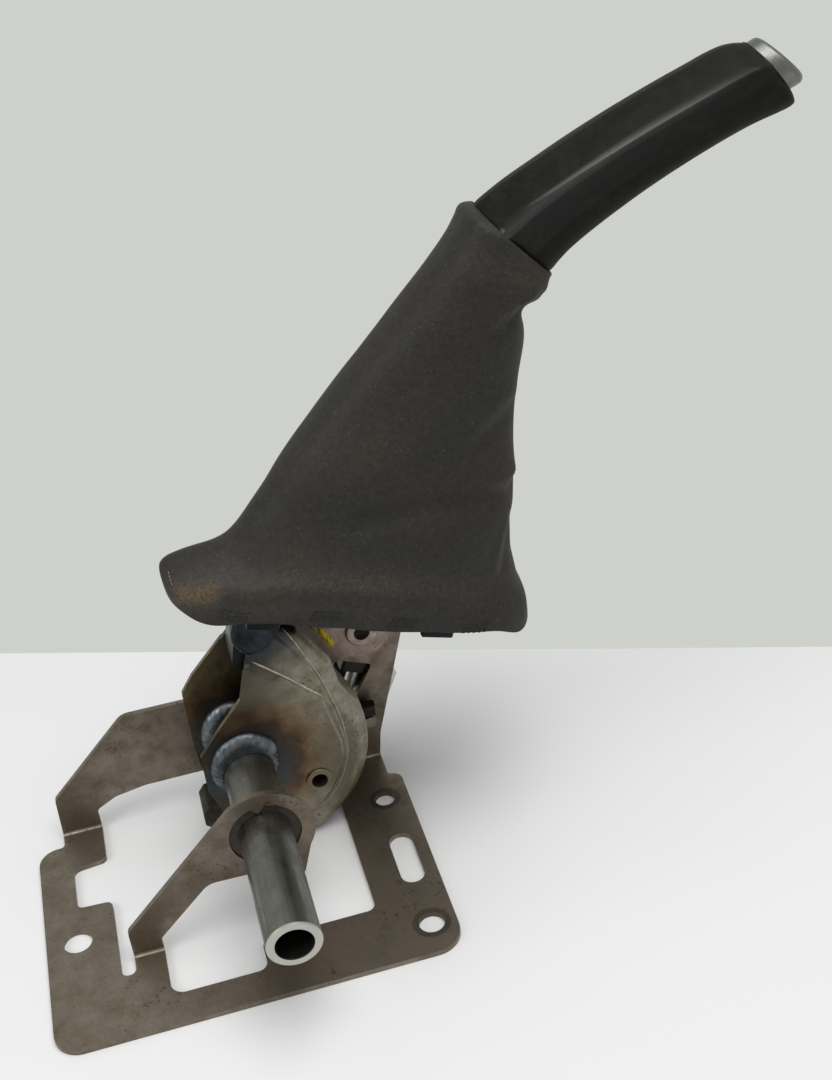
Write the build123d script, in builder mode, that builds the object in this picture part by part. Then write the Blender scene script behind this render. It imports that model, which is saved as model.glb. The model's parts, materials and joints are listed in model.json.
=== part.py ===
from build123d import *
from math import asin, cos, degrees, radians, sin, sqrt, tan
import os

os.makedirs("parts", exist_ok=True)

# Parking brake lever on its floor bracket.
# Origin: on the pivot axis, in the middle plane of the lever.
# X runs right along the front edge of the base plate, Y to the back, Z up.
# Millimetres and degrees; (x, z) pairs lie in planes across the pivot axis.

# Base bracket
sheet = 2.5
bend = 1.5
pivot_height = 50.0
pivot_from_left = 99.0
lever_from_front = 98.0
plate_width = 168.0
plate_left_depth = 118.0
plate_right_depth = 111.5
ear_fold = 39.8
upright_fold = 125.0
left_leg_left = 12.0
left_leg_right = 29.6
right_leg_left = 137.4
right_leg_right = 162.4
ear_foot_left = 35.6
ear_foot_right = 48.2
opening_front_left = 15.2
opening_front_right = 31.4
opening_step = 88.0
left_hole = (13.3, 58.0)
left_hole_r = 6.2
front_hole = (157.4, 16.1)
front_hole_r = 5.5
back_hole = (156.9, 96.0)
back_hole_r = 4.5
slot_middle = (157.0, 56.2)
slot_length = 31.0
slot_width = 10.5

# Bushes and tube
tube_r = 11.0
tube_bore_r = 7.75
tube_front = 119.0
tube_back = 42.0
tube_chamfer = 0.6
ring_hole_r = 15.0
ring_r = 20.7
bush_set_back = 0.8
flange_r = 18.5
flange = 2.0
running = 0.05
snug = 0.1
gap = 0.3

# Lever shells
lever_sheet = 2.2
stem_r = 9.5
stem_wall = 2.0
upper_step = 0.9
pad_step = 1.8
belly_r = 54.5
belly_floor = -47.3
groove_r = 44.0
rim_round = 6.5
rim_corner = 7.0
step_taper = 50.0
weld_leg = 5.0
weld_out = 14.6
eyelet_at = (29.2, -16.5)
eyelet_hole_r = 3.6
eyelet_ring_r = 6.0
eyelet_ring_h = 0.9
eyelet_edge = 0.4
anchor_at = (-7.0, -33.0)
anchor_pin_r = 3.0
anchor_half = 8.0

# Stem, knee and grip, in the lever's middle plane
stem_root = (17.0, 62.0)
stem_angle = 50.35
knee_distance = 200.5
knee_r = 45.0
grip_angle = 21.6
stem_end = 74.0
grip_base = 190.9
grip_base_angle = 41.2
grip_base_rise = 21.5
grip_base_drop = 21.5
grip_base_width = 34.0
# Distance from the knee, rise above and drop below the axis, width
grip_sections = [
    (20.0, 18.3, 18.3, 34.5),
    (50.0, 18.4, 16.4, 34.0),
    (80.0, 17.6, 17.6, 34.0),
    (115.0, 16.6, 20.9, 33.0),
]
ridge_share = 0.4
ridge_round = 1.4
ridge_overhang = 3.0
grip_top_round = 14.0
grip_bottom_round = 4.0
grip_side_round = 6.0

# Button and rods
button_r = 11.5
button_clear = 0.3
button_out = 6.8
button_wall = 3.0
grip_end = 103.4
end_slant = 37.3
crown_slant = 45.0
skirt_clear = 2.0
plug_flange = 1.0
spring_wire_r = 0.6
spring_r = 6.5
spring_turns = 6
guide_length = 8.0
guide_along = 60.0
button_travel = 5.0
rod_r = 2.5

# Pawl and toothed sector
pawl_arm = 13.0
pawl_along = 17.0
pawl_pin_r = 3.0
pawl_hub_r = 5.5
pawl_plate = 5.0
drive_pin_r = 2.0
nose_angle = 46.0
nose_height = 7.0
sector_plate = 4.0
sector_stand_off = 6.5
sector_r = 70.0
sector_inner_r = 48.0
tooth_pitch = 4.0
tooth_depth = 3.0
tooth_count = 9
first_tooth = 43.0
sector_rivet_low = (61.5, 33.0)
sector_rivet_high = (20.0, 56.0)
sector_lobe_r = 13.5
rivet_r = 4.0
rivet_head_r = 7.0
rivet_head_h = 1.6
rivet_cup_r = 3.6

# Stop pin, lug and switch
stop_pin_at = (60.0, -20.7)
stop_pin_r = 2.75
stop_pin_out = 8.0
lug_reach = 63.3
lug_thick = 5.5
lug_root = 46.0
switch_tip = (53.4, -9.4)
switch_angle = 66.0
plunger_r = 2.9
plunger_out = 11.5
plunger_travel = 3.0
switch_length = 24.0
switch_guard = 14.0
switch_wall = 2.2
screw_r = 1.5
screw_head_r = 3.5
clip_sheet = 0.8
clip_span = 5.0
switch_width = 15.0
switch_depth = 12.0

# Boot: left and right points of its sections, half depth and corner radius
boot_wall = 1.6
hem_left = (-18.5, 98.0)
hem_right = (131.0, 48.0)
hem_half_depth = 38.0
hem_corner = 32.0
hem_h = 8.0
hem_taper = 2.0
boot_sections = [
    ((8.5, 111.0), (128.5, 79.0), 34.0, 28.0),
    ((38.0, 139.0), (132.5, 116.0), 27.5, 24.0),
    ((72.0, 175.0), (138.0, 151.0), 22.5, 20.0),
    ((105.0, 206.0), (143.5, 181.0), 19.5, 17.0),
]
collar_h = 9.0
frame_wall = 4.0
frame_h = 5.0
clip_drop = 4.0
clip_width = 13.0
clip_thick = 3.0
clips_along = (42.5, -30.0)


def polar(radius, angle):
    """Point at a radius and an angle from the pivot axis."""
    return (radius * cos(radians(angle)), radius * sin(radians(angle)))


def step(start, angle, distance):
    """Point at a distance from start in the direction of an angle."""
    move = polar(distance, angle)
    return (start[0] + move[0], start[1] + move[1])


def across(y):
    """Plane across the pivot axis; a positive extrusion goes to the front."""
    return Plane.XZ.offset(-y)


def round_bar(start, angle, length, radius, y=0.0, mode=Mode.ADD):
    """Add or cut a round bar that runs across the pivot axis at an angle."""
    direction = polar(1.0, angle)
    foot = Plane((start[0], y, start[1]), z_dir=(direction[0], 0, direction[1]))
    with BuildSketch(foot) as section:
        Circle(radius)
    extrude(section.sketch, amount=length, mode=mode)


def cross_bar(centre, radius, front, back, mode=Mode.ADD):
    """Add or cut a round bar along the pivot direction, from y front to y back."""
    with BuildSketch(across(back)) as section:
        with Locations(centre):
            Circle(radius)
    extrude(section.sketch, amount=back - front, mode=mode)


def plate_piece(outline, front, back, mode=Mode.ADD, taper=0.0):
    """Add or cut a flat piece of a given outline, from y front to y back."""
    with BuildSketch(across(back)) as section:
        add(outline)
    extrude(section.sketch, amount=back - front, mode=mode, taper=taper)


# Levels worked out from the driving dimensions
plate_top = sheet - pivot_height
fold_centre_z = plate_top + bend
ear_front = ear_fold + bend - lever_from_front
ear_back = ear_front + sheet
upright_front = upright_fold + bend - lever_from_front
upright_back = upright_front + sheet
cheek_in = stem_r + snug
shoulder_y = cheek_in + lever_sheet
face_y = shoulder_y + pad_step
knee = step(stem_root, stem_angle, knee_distance)
sector_back = upright_front - sector_stand_off
sector_front = sector_back - sector_plate
pawl_middle = (sector_front + sector_back) / 2
pawl_front = pawl_middle - pawl_plate / 2
pawl_back = pawl_middle + pawl_plate / 2
drive_at = step(stem_root, stem_angle, pawl_along)
pawl_at = step(drive_at, stem_angle - 90, pawl_arm)
switch_base = step(switch_tip, switch_angle, plunger_out)
switch_middle = upright_back + gap + switch_depth / 2
switch_back = switch_middle + switch_depth / 2
button_skirt = stem_end + plug_flange + button_travel + skirt_clear
screw_at = step(switch_base, switch_angle, switch_length - 6)
plunger_y = upright_back + gap + plunger_r + 0.5


# Base bracket: one sheet, with the front ear and the rear upright folded up
def fold(left, right, fold_y):
    """Quarter bend from the flat plate up to a wall, between two X places."""
    y = fold_y - lever_from_front
    with BuildSketch(Plane.YZ.offset(left - pivot_from_left)) as section:
        with BuildLine():
            CenterArc((y, fold_centre_z), bend + sheet, -90, 90)
            Line((y + bend + sheet, fold_centre_z), (y + bend, fold_centre_z))
            CenterArc((y, fold_centre_z), bend, -90, 90)
            Line((y, plate_top), (y, -pivot_height))
        make_face()
    extrude(section.sketch, amount=right - left)


with BuildPart() as base_bracket:
    plate_corner = Plane((-pivot_from_left, -lever_from_front, -pivot_height))
    with BuildSketch(plate_corner):
        with BuildLine():
            FilletPolyline(
                (0, 0),
                (plate_width, 0),
                (plate_width, plate_right_depth),
                (right_leg_right, plate_right_depth),
                (right_leg_right, upright_fold),
                (left_leg_left, upright_fold),
                (left_leg_left, plate_left_depth),
                (0, plate_left_depth),
                radius=[11, 12, 5, 1.5, 0, 0, 2, 9],
                close=True,
            )
        make_face()
        with BuildLine():
            FilletPolyline(
                (left_leg_right, upright_fold + 1),
                (left_leg_right, 104),
                (14.6, 102.3),
                (14.6, 77.4),
                (left_leg_right, 76.6),
                (left_leg_right, 31.8),
                (ear_foot_left, 31.8),
                (ear_foot_left, ear_fold),
                (ear_foot_right, ear_fold),
                (ear_foot_right, opening_front_left),
                (opening_step, opening_front_left),
                (opening_step, opening_front_right),
                (right_leg_left, opening_front_right),
                (right_leg_left, upright_fold + 1),
                radius=[0, 3, 3.5, 3, 3, 2.8, 2.8, 0, 0, 6, 4, 4, 4, 0],
                close=True,
            )
        make_face(mode=Mode.SUBTRACT)
        with Locations(left_hole):
            Circle(left_hole_r, mode=Mode.SUBTRACT)
        with Locations(front_hole):
            Circle(front_hole_r, mode=Mode.SUBTRACT)
        with Locations(back_hole):
            Circle(back_hole_r, mode=Mode.SUBTRACT)
        with Locations(slot_middle):
            SlotOverall(slot_length, slot_width, rotation=90, mode=Mode.SUBTRACT)
    extrude(amount=sheet)
    fold(ear_foot_left, ear_foot_right, ear_fold)
    fold(left_leg_left, left_leg_right, upright_fold)
    fold(right_leg_left, right_leg_right, upright_fold)
    # Front ear, a slanted arm that ends in a ring round the tube
    ear_left = ear_foot_left - pivot_from_left
    ear_right = ear_foot_right - pivot_from_left
    ring_touch = polar(ring_r, 135)
    with BuildSketch(across(ear_back)):
        with BuildLine():
            FilletPolyline(
                (ear_left, fold_centre_z),
                (ear_left, ear_left + ring_touch[1] - ring_touch[0]),
                ring_touch,
                polar(ring_r, 60),
                polar(ring_r - 0.8, -17),
                (12.8, -26),
                (4, -27.5),
                (-9, -19.2),
                (-27, -18.6),
                (ear_right, -41.5),
                (ear_right, fold_centre_z),
                radius=[0, 4, 0, 0, 8, 2, 4, 8, 8, 3, 0],
                close=True,
            )
        make_face()
        Circle(ring_r)
        Circle(ring_hole_r, mode=Mode.SUBTRACT)
        # Pointed tab that keys the bush
        with BuildLine():
            Polyline((-5, ring_hole_r), (-1.3, tube_r + gap), (2, ring_hole_r), close=True)
        make_face()
    extrude(amount=sheet)
    # Rear upright with its arch, bearing hole and switch window
    with BuildSketch(across(upright_back)):
        with BuildLine():
            FilletPolyline(
                (left_leg_left - pivot_from_left, fold_centre_z),
                (-86.2, -27.0),
                (-48.5, 10.3),
                (-18.0, 10.0),
                (11.0, 42.0),
                (11.0, 62.0),
                (26.0, 68.0),
                (84.0, 50.0),
                (81.0, 20.0),
                (65.0, -34.0),
                (right_leg_right - pivot_from_left, fold_centre_z),
                (right_leg_left - pivot_from_left, fold_centre_z),
                (right_leg_left - pivot_from_left, -30.6),
                (-46.0, -30.6),
                (-60.0, -33.0),
                (left_leg_right - pivot_from_left, -38.0),
                (left_leg_right - pivot_from_left, fold_centre_z),
                radius=[0, 3, 8, 4, 10, 6, 6, 12, 14, 14, 0, 0, 6, 10, 6, 3, 0],
                close=True,
            )
        make_face()
        Circle(ring_hole_r, mode=Mode.SUBTRACT)
        with BuildLine():
            FilletPolyline(
                (41.0, 16.5),
                (65.6, 6.0),
                (55.8, -11.0),
                (40.0, -4.0),
                radius=1.5,
                close=True,
            )
        make_face(mode=Mode.SUBTRACT)
        for rivet in (sector_rivet_low, sector_rivet_high):
            with Locations(rivet):
                Circle(rivet_r + snug, mode=Mode.SUBTRACT)
        with Locations(stop_pin_at):
            Circle(stop_pin_r + snug, mode=Mode.SUBTRACT)
        with Locations(screw_at):
            Circle(screw_r + snug, mode=Mode.SUBTRACT)
    extrude(amount=sheet)
base_bracket.part.label = "base_bracket"
export_step(base_bracket.part, "parts/base_bracket.step")


# Bushes: plastic sleeves with a flange on the side of the lever
with BuildPart() as front_bush:
    cross_bar((0, 0), ring_hole_r - snug, ear_front + bush_set_back, ear_back)
    cross_bar((0, 0), flange_r, ear_back, ear_back + flange)
    cross_bar((0, 0), tube_r + running, ear_front, ear_back + flange, mode=Mode.SUBTRACT)
    with BuildSketch(across(ear_back)):
        with BuildLine():
            Polyline((-6, ring_hole_r + 1), (-1.3, tube_r - 1), (3, ring_hole_r + 1), close=True)
        make_face()
    extrude(amount=sheet, mode=Mode.SUBTRACT)
front_bush.part.label = "front_bush"
export_step(front_bush.part, "parts/front_bush.step")

with BuildPart() as rear_bush:
    cross_bar((0, 0), ring_hole_r - snug, upright_front, upright_back)
    cross_bar((0, 0), flange_r, upright_front - flange, upright_front)
    cross_bar((0, 0), tube_r + running, upright_front - flange, upright_back, mode=Mode.SUBTRACT)
rear_bush.part.label = "rear_bush"
export_step(rear_bush.part, "parts/rear_bush.step")


# Cross tube, welded into the shells and turning in both bushes
with BuildPart() as cross_tube:
    with BuildSketch(across(tube_back)):
        Circle(tube_r)
        Circle(tube_bore_r, mode=Mode.SUBTRACT)
    extrude(amount=tube_back + tube_front)
    ends = cross_tube.edges().filter_by(GeomType.CIRCLE).group_by(SortBy.RADIUS)[-1]
    chamfer(ends, tube_chamfer)
cross_tube.part.label = "cross_tube"
export_step(cross_tube.part, "parts/cross_tube.step")


# Stem: a bent tube from the shells into the grip
with BuildLine() as stem_path:
    stem_foot = step(stem_root, stem_angle, -3)
    stem_tip = step(knee, grip_angle, stem_end)
    FilletPolyline(
        (stem_foot[0], 0, stem_foot[1]),
        (knee[0], 0, knee[1]),
        (stem_tip[0], 0, stem_tip[1]),
        radius=knee_r,
    )


def stem_space(radius):
    """Solid bar along the stem's path."""
    with BuildPart() as bar:
        with BuildSketch(Plane(stem_path.line @ 0, z_dir=stem_path.line % 0)):
            Circle(radius)
        sweep(path=stem_path.line)
    return bar.part


drive_end = step(drive_at, stem_angle, -button_travel)
drive_middle = ((drive_at[0] + drive_end[0]) / 2, (drive_at[1] + drive_end[1]) / 2)


def drive_slot(front, back):
    """Cut the slot that the pawl's drive pin moves in."""
    with BuildSketch(across(back)) as section:
        with Locations(drive_middle):
            SlotCenterToCenter(button_travel, 2 * drive_pin_r + 3, rotation=stem_angle)
    extrude(section.sketch, amount=back - front, mode=Mode.SUBTRACT)


with BuildPart() as lever_stem:
    with BuildSketch(Plane(stem_path.line @ 0, z_dir=stem_path.line % 0)):
        Circle(stem_r)
        Circle(stem_r - stem_wall, mode=Mode.SUBTRACT)
    sweep(path=stem_path.line)
    drive_slot(0, stem_r + 1)
lever_stem.part.label = "lever_stem"
export_step(lever_stem.part, "parts/lever_stem.step")

# Lever shells: two pressed halves that meet in the middle plane on the right
rim_corners = [(53.3, 11.3), (45.8, 26.5), (43.4, 41.5), (31.5, 61.5)]
top_corner = (12.5, 75.0)
near_left = [
    (8.5, 57.0),
    (2.6, 36.0),
    (-8.4, 23.4),
    (-18.6, 11.0),
    (-18.6, -8.0),
    (-12.0, -27.0),
    (-12.0, -40.0),
]
far_left = [
    (5.0, 56.0),
    (-14.6, 35.6),
    (-20.2, 27.5),
    (-20.2, -2.0),
    (-18.0, -26.0),
    (-12.0, -40.0),
]
floor_left = -4.0


def shell_outline(left_edge, inset):
    """Face of a shell: belly arc about the pivot, rim up to the stem, left edge."""
    radius = belly_r - inset
    floor = belly_floor + inset
    belly_start = degrees(asin(floor / radius))
    rim = [(x - inset, z - inset / 3) for x, z in rim_corners[1:]]
    with BuildSketch() as outline:
        with BuildLine():
            belly = CenterArc((0, 0), radius, belly_start, 12 - belly_start)
            Polyline(belly @ 1, *rim, top_corner, *left_edge, (floor_left, floor), belly @ 0)
        make_face()
        fillet(outline.vertices().filter_by(lambda corner: corner.X > top_corner[0] + 5), rim_corner)
    return outline.sketch


def raised_outline(radius, corners):
    """Raised part of a shell's face: an arc inside the belly, open to the left."""
    with BuildSketch() as outline:
        with BuildLine():
            arc = CenterArc((0, 0), radius, -52, 54)
            Polyline(arc @ 1, *corners, (-30.0, -30.0), (8.0, 5 - radius), arc @ 0)
        make_face()
    return outline.sketch


def upper_face(inset):
    """Face inside the groove."""
    corners = [(39.7 - inset, 28.0), (32.4 - inset, 49.7), (26.5 - inset, 63.5), (14.0, 74.0), (-20.0, 60.0)]
    return raised_outline(groove_r - inset, corners)


def pad_face(inset):
    """Most raised face, below the crease."""
    corners = [(38.0 - inset, 26.0 - inset), (10.0, 54.0 - inset), (-30.0, 54.0 - inset)]
    return raised_outline(groove_r - 0.8 - inset, corners)


def moved_left(edge, distance):
    """Left edge of a shell, moved out."""
    return [(x - distance, z) for x, z in edge]


def pressed_shell(left_edge):
    """One shell in the near position, its flange towards the middle plane."""
    steps = ((upper_face, upper_step), (pad_face, pad_step))
    with BuildPart() as shell:
        plate_piece(shell_outline(left_edge, 0), -shoulder_y, 0)
        front_face = shell.faces().filter_by(Axis.Y).sort_by(Axis.Y)[0]
        rim_edges = front_face.edges().filter_by(lambda edge: edge.center().X > top_corner[0] + 7)
        fillet(rim_edges, rim_round)
        # Raised faces, with sloping steps that run out past the left edge
        within = shell_outline(moved_left(left_edge, 2 * rim_round), rim_round)
        for face, height in steps:
            with BuildSketch() as raised:
                add(within)
                add(face(0), mode=Mode.INTERSECT)
            plate_piece(raised.sketch, -shoulder_y - height, -shoulder_y, taper=step_taper)
        with BuildSketch(across(0)) as trim:
            add(shell_outline(left_edge, 0))
        extrude(trim.sketch, amount=face_y, mode=Mode.INTERSECT)
        # Hollow of the pressing, open on the left and at the foot of the left edge
        hollow = shell_outline(moved_left(left_edge, 40), lever_sheet)
        plate_piece(hollow, -cheek_in, 0, mode=Mode.SUBTRACT)
        for face, height in steps:
            with BuildSketch() as raised:
                add(hollow)
                add(face(lever_sheet), mode=Mode.INTERSECT)
            plate_piece(raised.sketch, -cheek_in - height, -cheek_in, mode=Mode.SUBTRACT)
        cross_bar((0, 0), tube_r + snug, -face_y, 0, mode=Mode.SUBTRACT)
        cross_bar(anchor_at, anchor_pin_r + snug, -face_y, 0, mode=Mode.SUBTRACT)
        add(stem_space(stem_r + snug), mode=Mode.SUBTRACT)
    # Only the shell itself; the cut for the stem leaves a crumb above it
    return shell.part.solids().sort_by(SortBy.VOLUME)[-1]


with BuildPart() as lever_shell_near:
    add(pressed_shell(near_left))
    cross_bar(eyelet_at, eyelet_ring_r, -face_y - eyelet_ring_h, -face_y)
    ring_edges = lever_shell_near.faces().sort_by(Axis.Y)[0].edges()
    fillet(ring_edges, eyelet_edge)
    cross_bar(eyelet_at, eyelet_hole_r, -face_y - eyelet_ring_h, 0, mode=Mode.SUBTRACT)
lever_shell_near.part.label = "lever_shell_near"
export_step(lever_shell_near.part, "parts/lever_shell_near.step")

# The far shell also carries the pawl's hinge
with BuildSketch() as hinge_lobe:
    with BuildLine():
        Polyline((40.0, 46.0), pawl_at, drive_at, (12.5, 70.0), (20.0, 50.0), close=True)
    make_face()
    with Locations(pawl_at):
        Circle(pawl_hub_r + 3)
    with Locations(drive_at):
        Circle(stem_r - 0.5)
with BuildPart() as lever_shell_far:
    add(mirror(pressed_shell(far_left), about=Plane.XZ))
    plate_piece(hinge_lobe.sketch, cheek_in, shoulder_y)
    cross_bar(pawl_at, pawl_pin_r + snug, cheek_in, face_y, mode=Mode.SUBTRACT)
    drive_slot(0, face_y)
lever_shell_far.part.label = "lever_shell_far"
export_step(lever_shell_far.part, "parts/lever_shell_far.step")

# Stop lug on the far shell's side, resting just above the stop pin
lug_bottom = stop_pin_at[1] + stop_pin_r + gap
lug_back = upright_front - 2.5
lug_front = upright_front - stop_pin_out + 0.5
with BuildPart() as stop_lug:
    with BuildSketch(Plane.XY.offset(lug_bottom)):
        with BuildLine():
            Polyline(
                (lug_root, shoulder_y),
                (belly_r + 0.5, shoulder_y),
                (belly_r + 0.5, lug_front),
                (lug_reach, lug_front),
                (lug_reach, lug_back),
                (lug_root, lug_back),
                close=True,
            )
        make_face()
    extrude(amount=lug_thick)
    fillet(stop_lug.edges().filter_by(Axis.Z).sort_by(Axis.X)[-2:], 1)
    add(lever_shell_far.part, mode=Mode.SUBTRACT)
stop_lug.part.label = "stop_lug"
export_step(stop_lug.part, "parts/stop_lug.step")


# Welds
def bead(y_start, y_end, reach):
    """Ring of weld round the tube, highest where it meets the shell at y_start."""
    with BuildSketch(Plane.XY) as profile:
        with BuildLine():
            start = (tube_r + snug, y_start)
            ThreePointArc(
                (tube_r + reach, y_start),
                (tube_r + 0.75 * reach, y_start + 0.7 * (y_end - y_start)),
                (tube_r + snug, y_end),
            )
            Polyline((tube_r + snug, y_end), start, (tube_r + reach, y_start))
        make_face()
    revolve(profile.sketch, axis=Axis.Y)


with BuildPart() as tube_weld_near:
    bead(-face_y, -face_y - weld_leg, weld_leg)
tube_weld_near.part.label = "tube_weld_near"
export_step(tube_weld_near.part, "parts/tube_weld_near.step")

with BuildPart() as tube_weld_far:
    bead(face_y - lever_sheet, face_y - lever_sheet - weld_leg, weld_leg + 1)
tube_weld_far.part.label = "tube_weld_far"
export_step(tube_weld_far.part, "parts/tube_weld_far.step")


# Weld that closes the shells' left side and runs out over the near shell
weld_outline = [
    (4.0, 68.0),
    (6.3, 60.5),
    (10.5, 57.2),
    (16.5, 58.3),
    (21.0, 62.0),
    (24.5, 69.0),
    (18.0, 73.5),
    (8.0, 75.5),
]
with BuildPart() as shell_weld:
    with BuildSketch(across(cheek_in)):
        with BuildLine():
            FilletPolyline((2.5, 51.0), (9.0, 46.5), (14.0, 70.0), (7.0, 72.0), radius=2, close=True)
        make_face()
    extrude(amount=2 * cheek_in)
    with BuildSketch(across(-cheek_in)):
        with BuildLine():
            Spline(*weld_outline, periodic=True)
        make_face()
    extrude(amount=weld_out - cheek_in)
    fillet(shell_weld.faces().sort_by(Axis.Y)[0].edges(), 2.2)
    add(lever_stem.part, mode=Mode.SUBTRACT)
    add(lever_shell_near.part, mode=Mode.SUBTRACT)
    add(lever_shell_far.part, mode=Mode.SUBTRACT)
shell_weld.part.label = "shell_weld"
export_step(shell_weld.part, "parts/shell_weld.step")


# Cable anchor between the shells, on a cross pin
with BuildPart() as cable_anchor:
    with BuildSketch(across(anchor_half)):
        with BuildLine():
            FilletPolyline(
                (-23, -25), (-20, -21), (-9, -21), (-2, -30), (-4, -41), (-20, -42), (-19, -34), (-23, -31),
                radius=1.5, close=True,
            )
        make_face()
    extrude(amount=2 * anchor_half)
    cross_bar(anchor_at, anchor_pin_r + snug, -anchor_half, anchor_half, mode=Mode.SUBTRACT)
cable_anchor.part.label = "cable_anchor"
export_step(cable_anchor.part, "parts/cable_anchor.step")

with BuildPart() as anchor_pin:
    cross_bar(anchor_at, anchor_pin_r, -face_y, face_y)
    cross_bar(anchor_at, anchor_pin_r + 1.5, face_y, face_y + 1.5)
    cross_bar(anchor_at, anchor_pin_r + 1.5, -face_y - 1.5, -face_y)
anchor_pin.part.label = "anchor_pin"
export_step(anchor_pin.part, "parts/anchor_pin.step")


# Pawl, hinged on the far shell, with a pin into the stem for the push rod
with BuildPart() as pawl:
    nose_r = sector_r + gap
    nose = polar(nose_r, nose_angle)
    arm_angle = nose_angle - 102.7
    root_in = step(pawl_at, arm_angle - 90, pawl_hub_r - 0.4)
    root_out = step(pawl_at, arm_angle + 90, pawl_hub_r)
    nose_out = step(nose, arm_angle + 90, nose_height)
    with BuildSketch() as blade:
        with BuildLine():
            Polyline(pawl_at, root_in, nose, nose_out, root_out, close=True)
        make_face()
        with Locations(pawl_at):
            Circle(pawl_hub_r)
        with Locations(drive_at):
            Circle(2 * drive_pin_r)
        with BuildLine():
            side = stem_angle
            Polyline(
                step(pawl_at, side, pawl_hub_r - 1),
                step(drive_at, side, 2 * drive_pin_r - 0.3),
                step(drive_at, side, 0.3 - 2 * drive_pin_r),
                step(pawl_at, side, 2 - pawl_hub_r),
                close=True,
            )
        make_face()
    plate_piece(blade.sketch, pawl_front, pawl_back)
    cross_bar(pawl_at, pawl_hub_r, shoulder_y + gap, pawl_front)
    cross_bar(drive_at, drive_pin_r, -drive_pin_r, pawl_front)
    cross_bar(pawl_at, pawl_pin_r + running, shoulder_y, pawl_back, mode=Mode.SUBTRACT)
pawl.part.label = "pawl"
export_step(pawl.part, "parts/pawl.step")

with BuildPart() as pawl_pin:
    cross_bar(pawl_at, pawl_pin_r, cheek_in, pawl_back + gap)
    cross_bar(pawl_at, pawl_hub_r - 0.5, pawl_back + gap, pawl_back + gap + 1.5)
pawl_pin.part.label = "pawl_pin"
export_step(pawl_pin.part, "parts/pawl_pin.step")


# Spring coil round the pawl's hub
with BuildPart() as pawl_spring:
    coil_r = pawl_hub_r + gap + spring_wire_r
    coil_span = pawl_front - shoulder_y - 2 * gap - 2 * spring_wire_r
    coil_front = (pawl_at[0], shoulder_y + gap + spring_wire_r, pawl_at[1])
    with BuildLine():
        hub_coil = Helix(coil_span / 2.5, coil_span, coil_r, center=coil_front, direction=(0, 1, 0))
    with BuildSketch(Plane(hub_coil @ 0, z_dir=hub_coil % 0)):
        Circle(spring_wire_r)
    sweep(is_frenet=True)
pawl_spring.part.label = "pawl_spring"
export_step(pawl_spring.part, "parts/pawl_spring.step")


# Toothed sector, held off the upright by two shouldered rivets
with BuildPart() as tooth_sector:
    last_tooth = first_tooth + tooth_pitch * tooth_count
    with BuildSketch() as quadrant:
        with BuildLine():
            low_angle = 20.0
            outer = CenterArc((0, 0), sector_r, low_angle, last_tooth - low_angle)
            inner = CenterArc((0, 0), sector_inner_r, low_angle + 3, last_tooth - low_angle - 3)
            Line(outer @ 1, inner @ 1)
            Line(outer @ 0, inner @ 0)
        make_face()
        with Locations(sector_rivet_low):
            Circle(sector_lobe_r)
        for number in range(tooth_count):
            angle = first_tooth + number * tooth_pitch
            with BuildLine():
                Polyline(
                    polar(sector_r + 1, angle),
                    polar(sector_r - tooth_depth, angle),
                    polar(sector_r + 1, angle + 0.8 * tooth_pitch),
                    close=True,
                )
            make_face(mode=Mode.SUBTRACT)
        for rivet in (sector_rivet_low, sector_rivet_high):
            with Locations(rivet):
                Circle(rivet_r + snug, mode=Mode.SUBTRACT)
    plate_piece(quadrant.sketch, sector_front, sector_back)
tooth_sector.part.label = "tooth_sector"
export_step(tooth_sector.part, "parts/tooth_sector.step")

for name, place in (("sector_rivet_low", sector_rivet_low), ("sector_rivet_high", sector_rivet_high)):
    with BuildPart() as rivet:
        cross_bar(place, rivet_r, sector_front, upright_back)
        cross_bar(place, rivet_head_r - 1, sector_back, upright_front)
        cross_bar(place, rivet_head_r, sector_front - rivet_head_h, sector_front)
        cross_bar(place, rivet_head_r - 1, upright_back, upright_back + rivet_head_h)
        head_edges = rivet.faces().sort_by(Axis.Y)[0].edges()
        fillet(head_edges, 0.7)
        cross_bar(place, rivet_cup_r, sector_front - rivet_head_h, sector_front, mode=Mode.SUBTRACT)
    rivet.part.label = name
    export_step(rivet.part, "parts/" + name + ".step")


# Stop pin
with BuildPart() as stop_pin:
    cross_bar(stop_pin_at, stop_pin_r, upright_front - stop_pin_out, upright_back)
    cross_bar(stop_pin_at, stop_pin_r + 1.5, upright_back, upright_back + 1.5)
stop_pin.part.label = "stop_pin"
export_step(stop_pin.part, "parts/stop_pin.step")


# Switch behind the upright's window
switch_plane = Plane(
    (switch_base[0], switch_middle, switch_base[1]),
    x_dir=(0, 1, 0),
    z_dir=(cos(radians(switch_angle)), 0, sin(radians(switch_angle))),
)
guard_side = 1 if switch_plane.y_dir.X > 0 else -1
with BuildPart() as switch_housing:
    with BuildSketch(switch_plane):
        RectangleRounded(switch_depth, switch_width, 1.5)
    extrude(amount=switch_length)
    # Guard behind and beside the plunger
    with BuildSketch(switch_plane):
        with Locations(((switch_depth - switch_wall) / 2, 0)):
            Rectangle(switch_wall, switch_width)
        with Locations((0, guard_side * (switch_width - switch_wall) / 2)):
            Rectangle(switch_depth, switch_wall)
    extrude(amount=-switch_guard)
    # Throat of the plunger
    round_bar(switch_base, switch_angle, plunger_travel + 10, plunger_r + running, plunger_y, Mode.SUBTRACT)
    # Foot that meets the upright under the screw
    cross_bar(screw_at, 5.5, upright_back, upright_back + gap + 1)
    cross_bar(screw_at, screw_r + snug, upright_back, switch_back, mode=Mode.SUBTRACT)
switch_housing.part.label = "switch_housing"
export_step(switch_housing.part, "parts/switch_housing.step")

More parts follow.
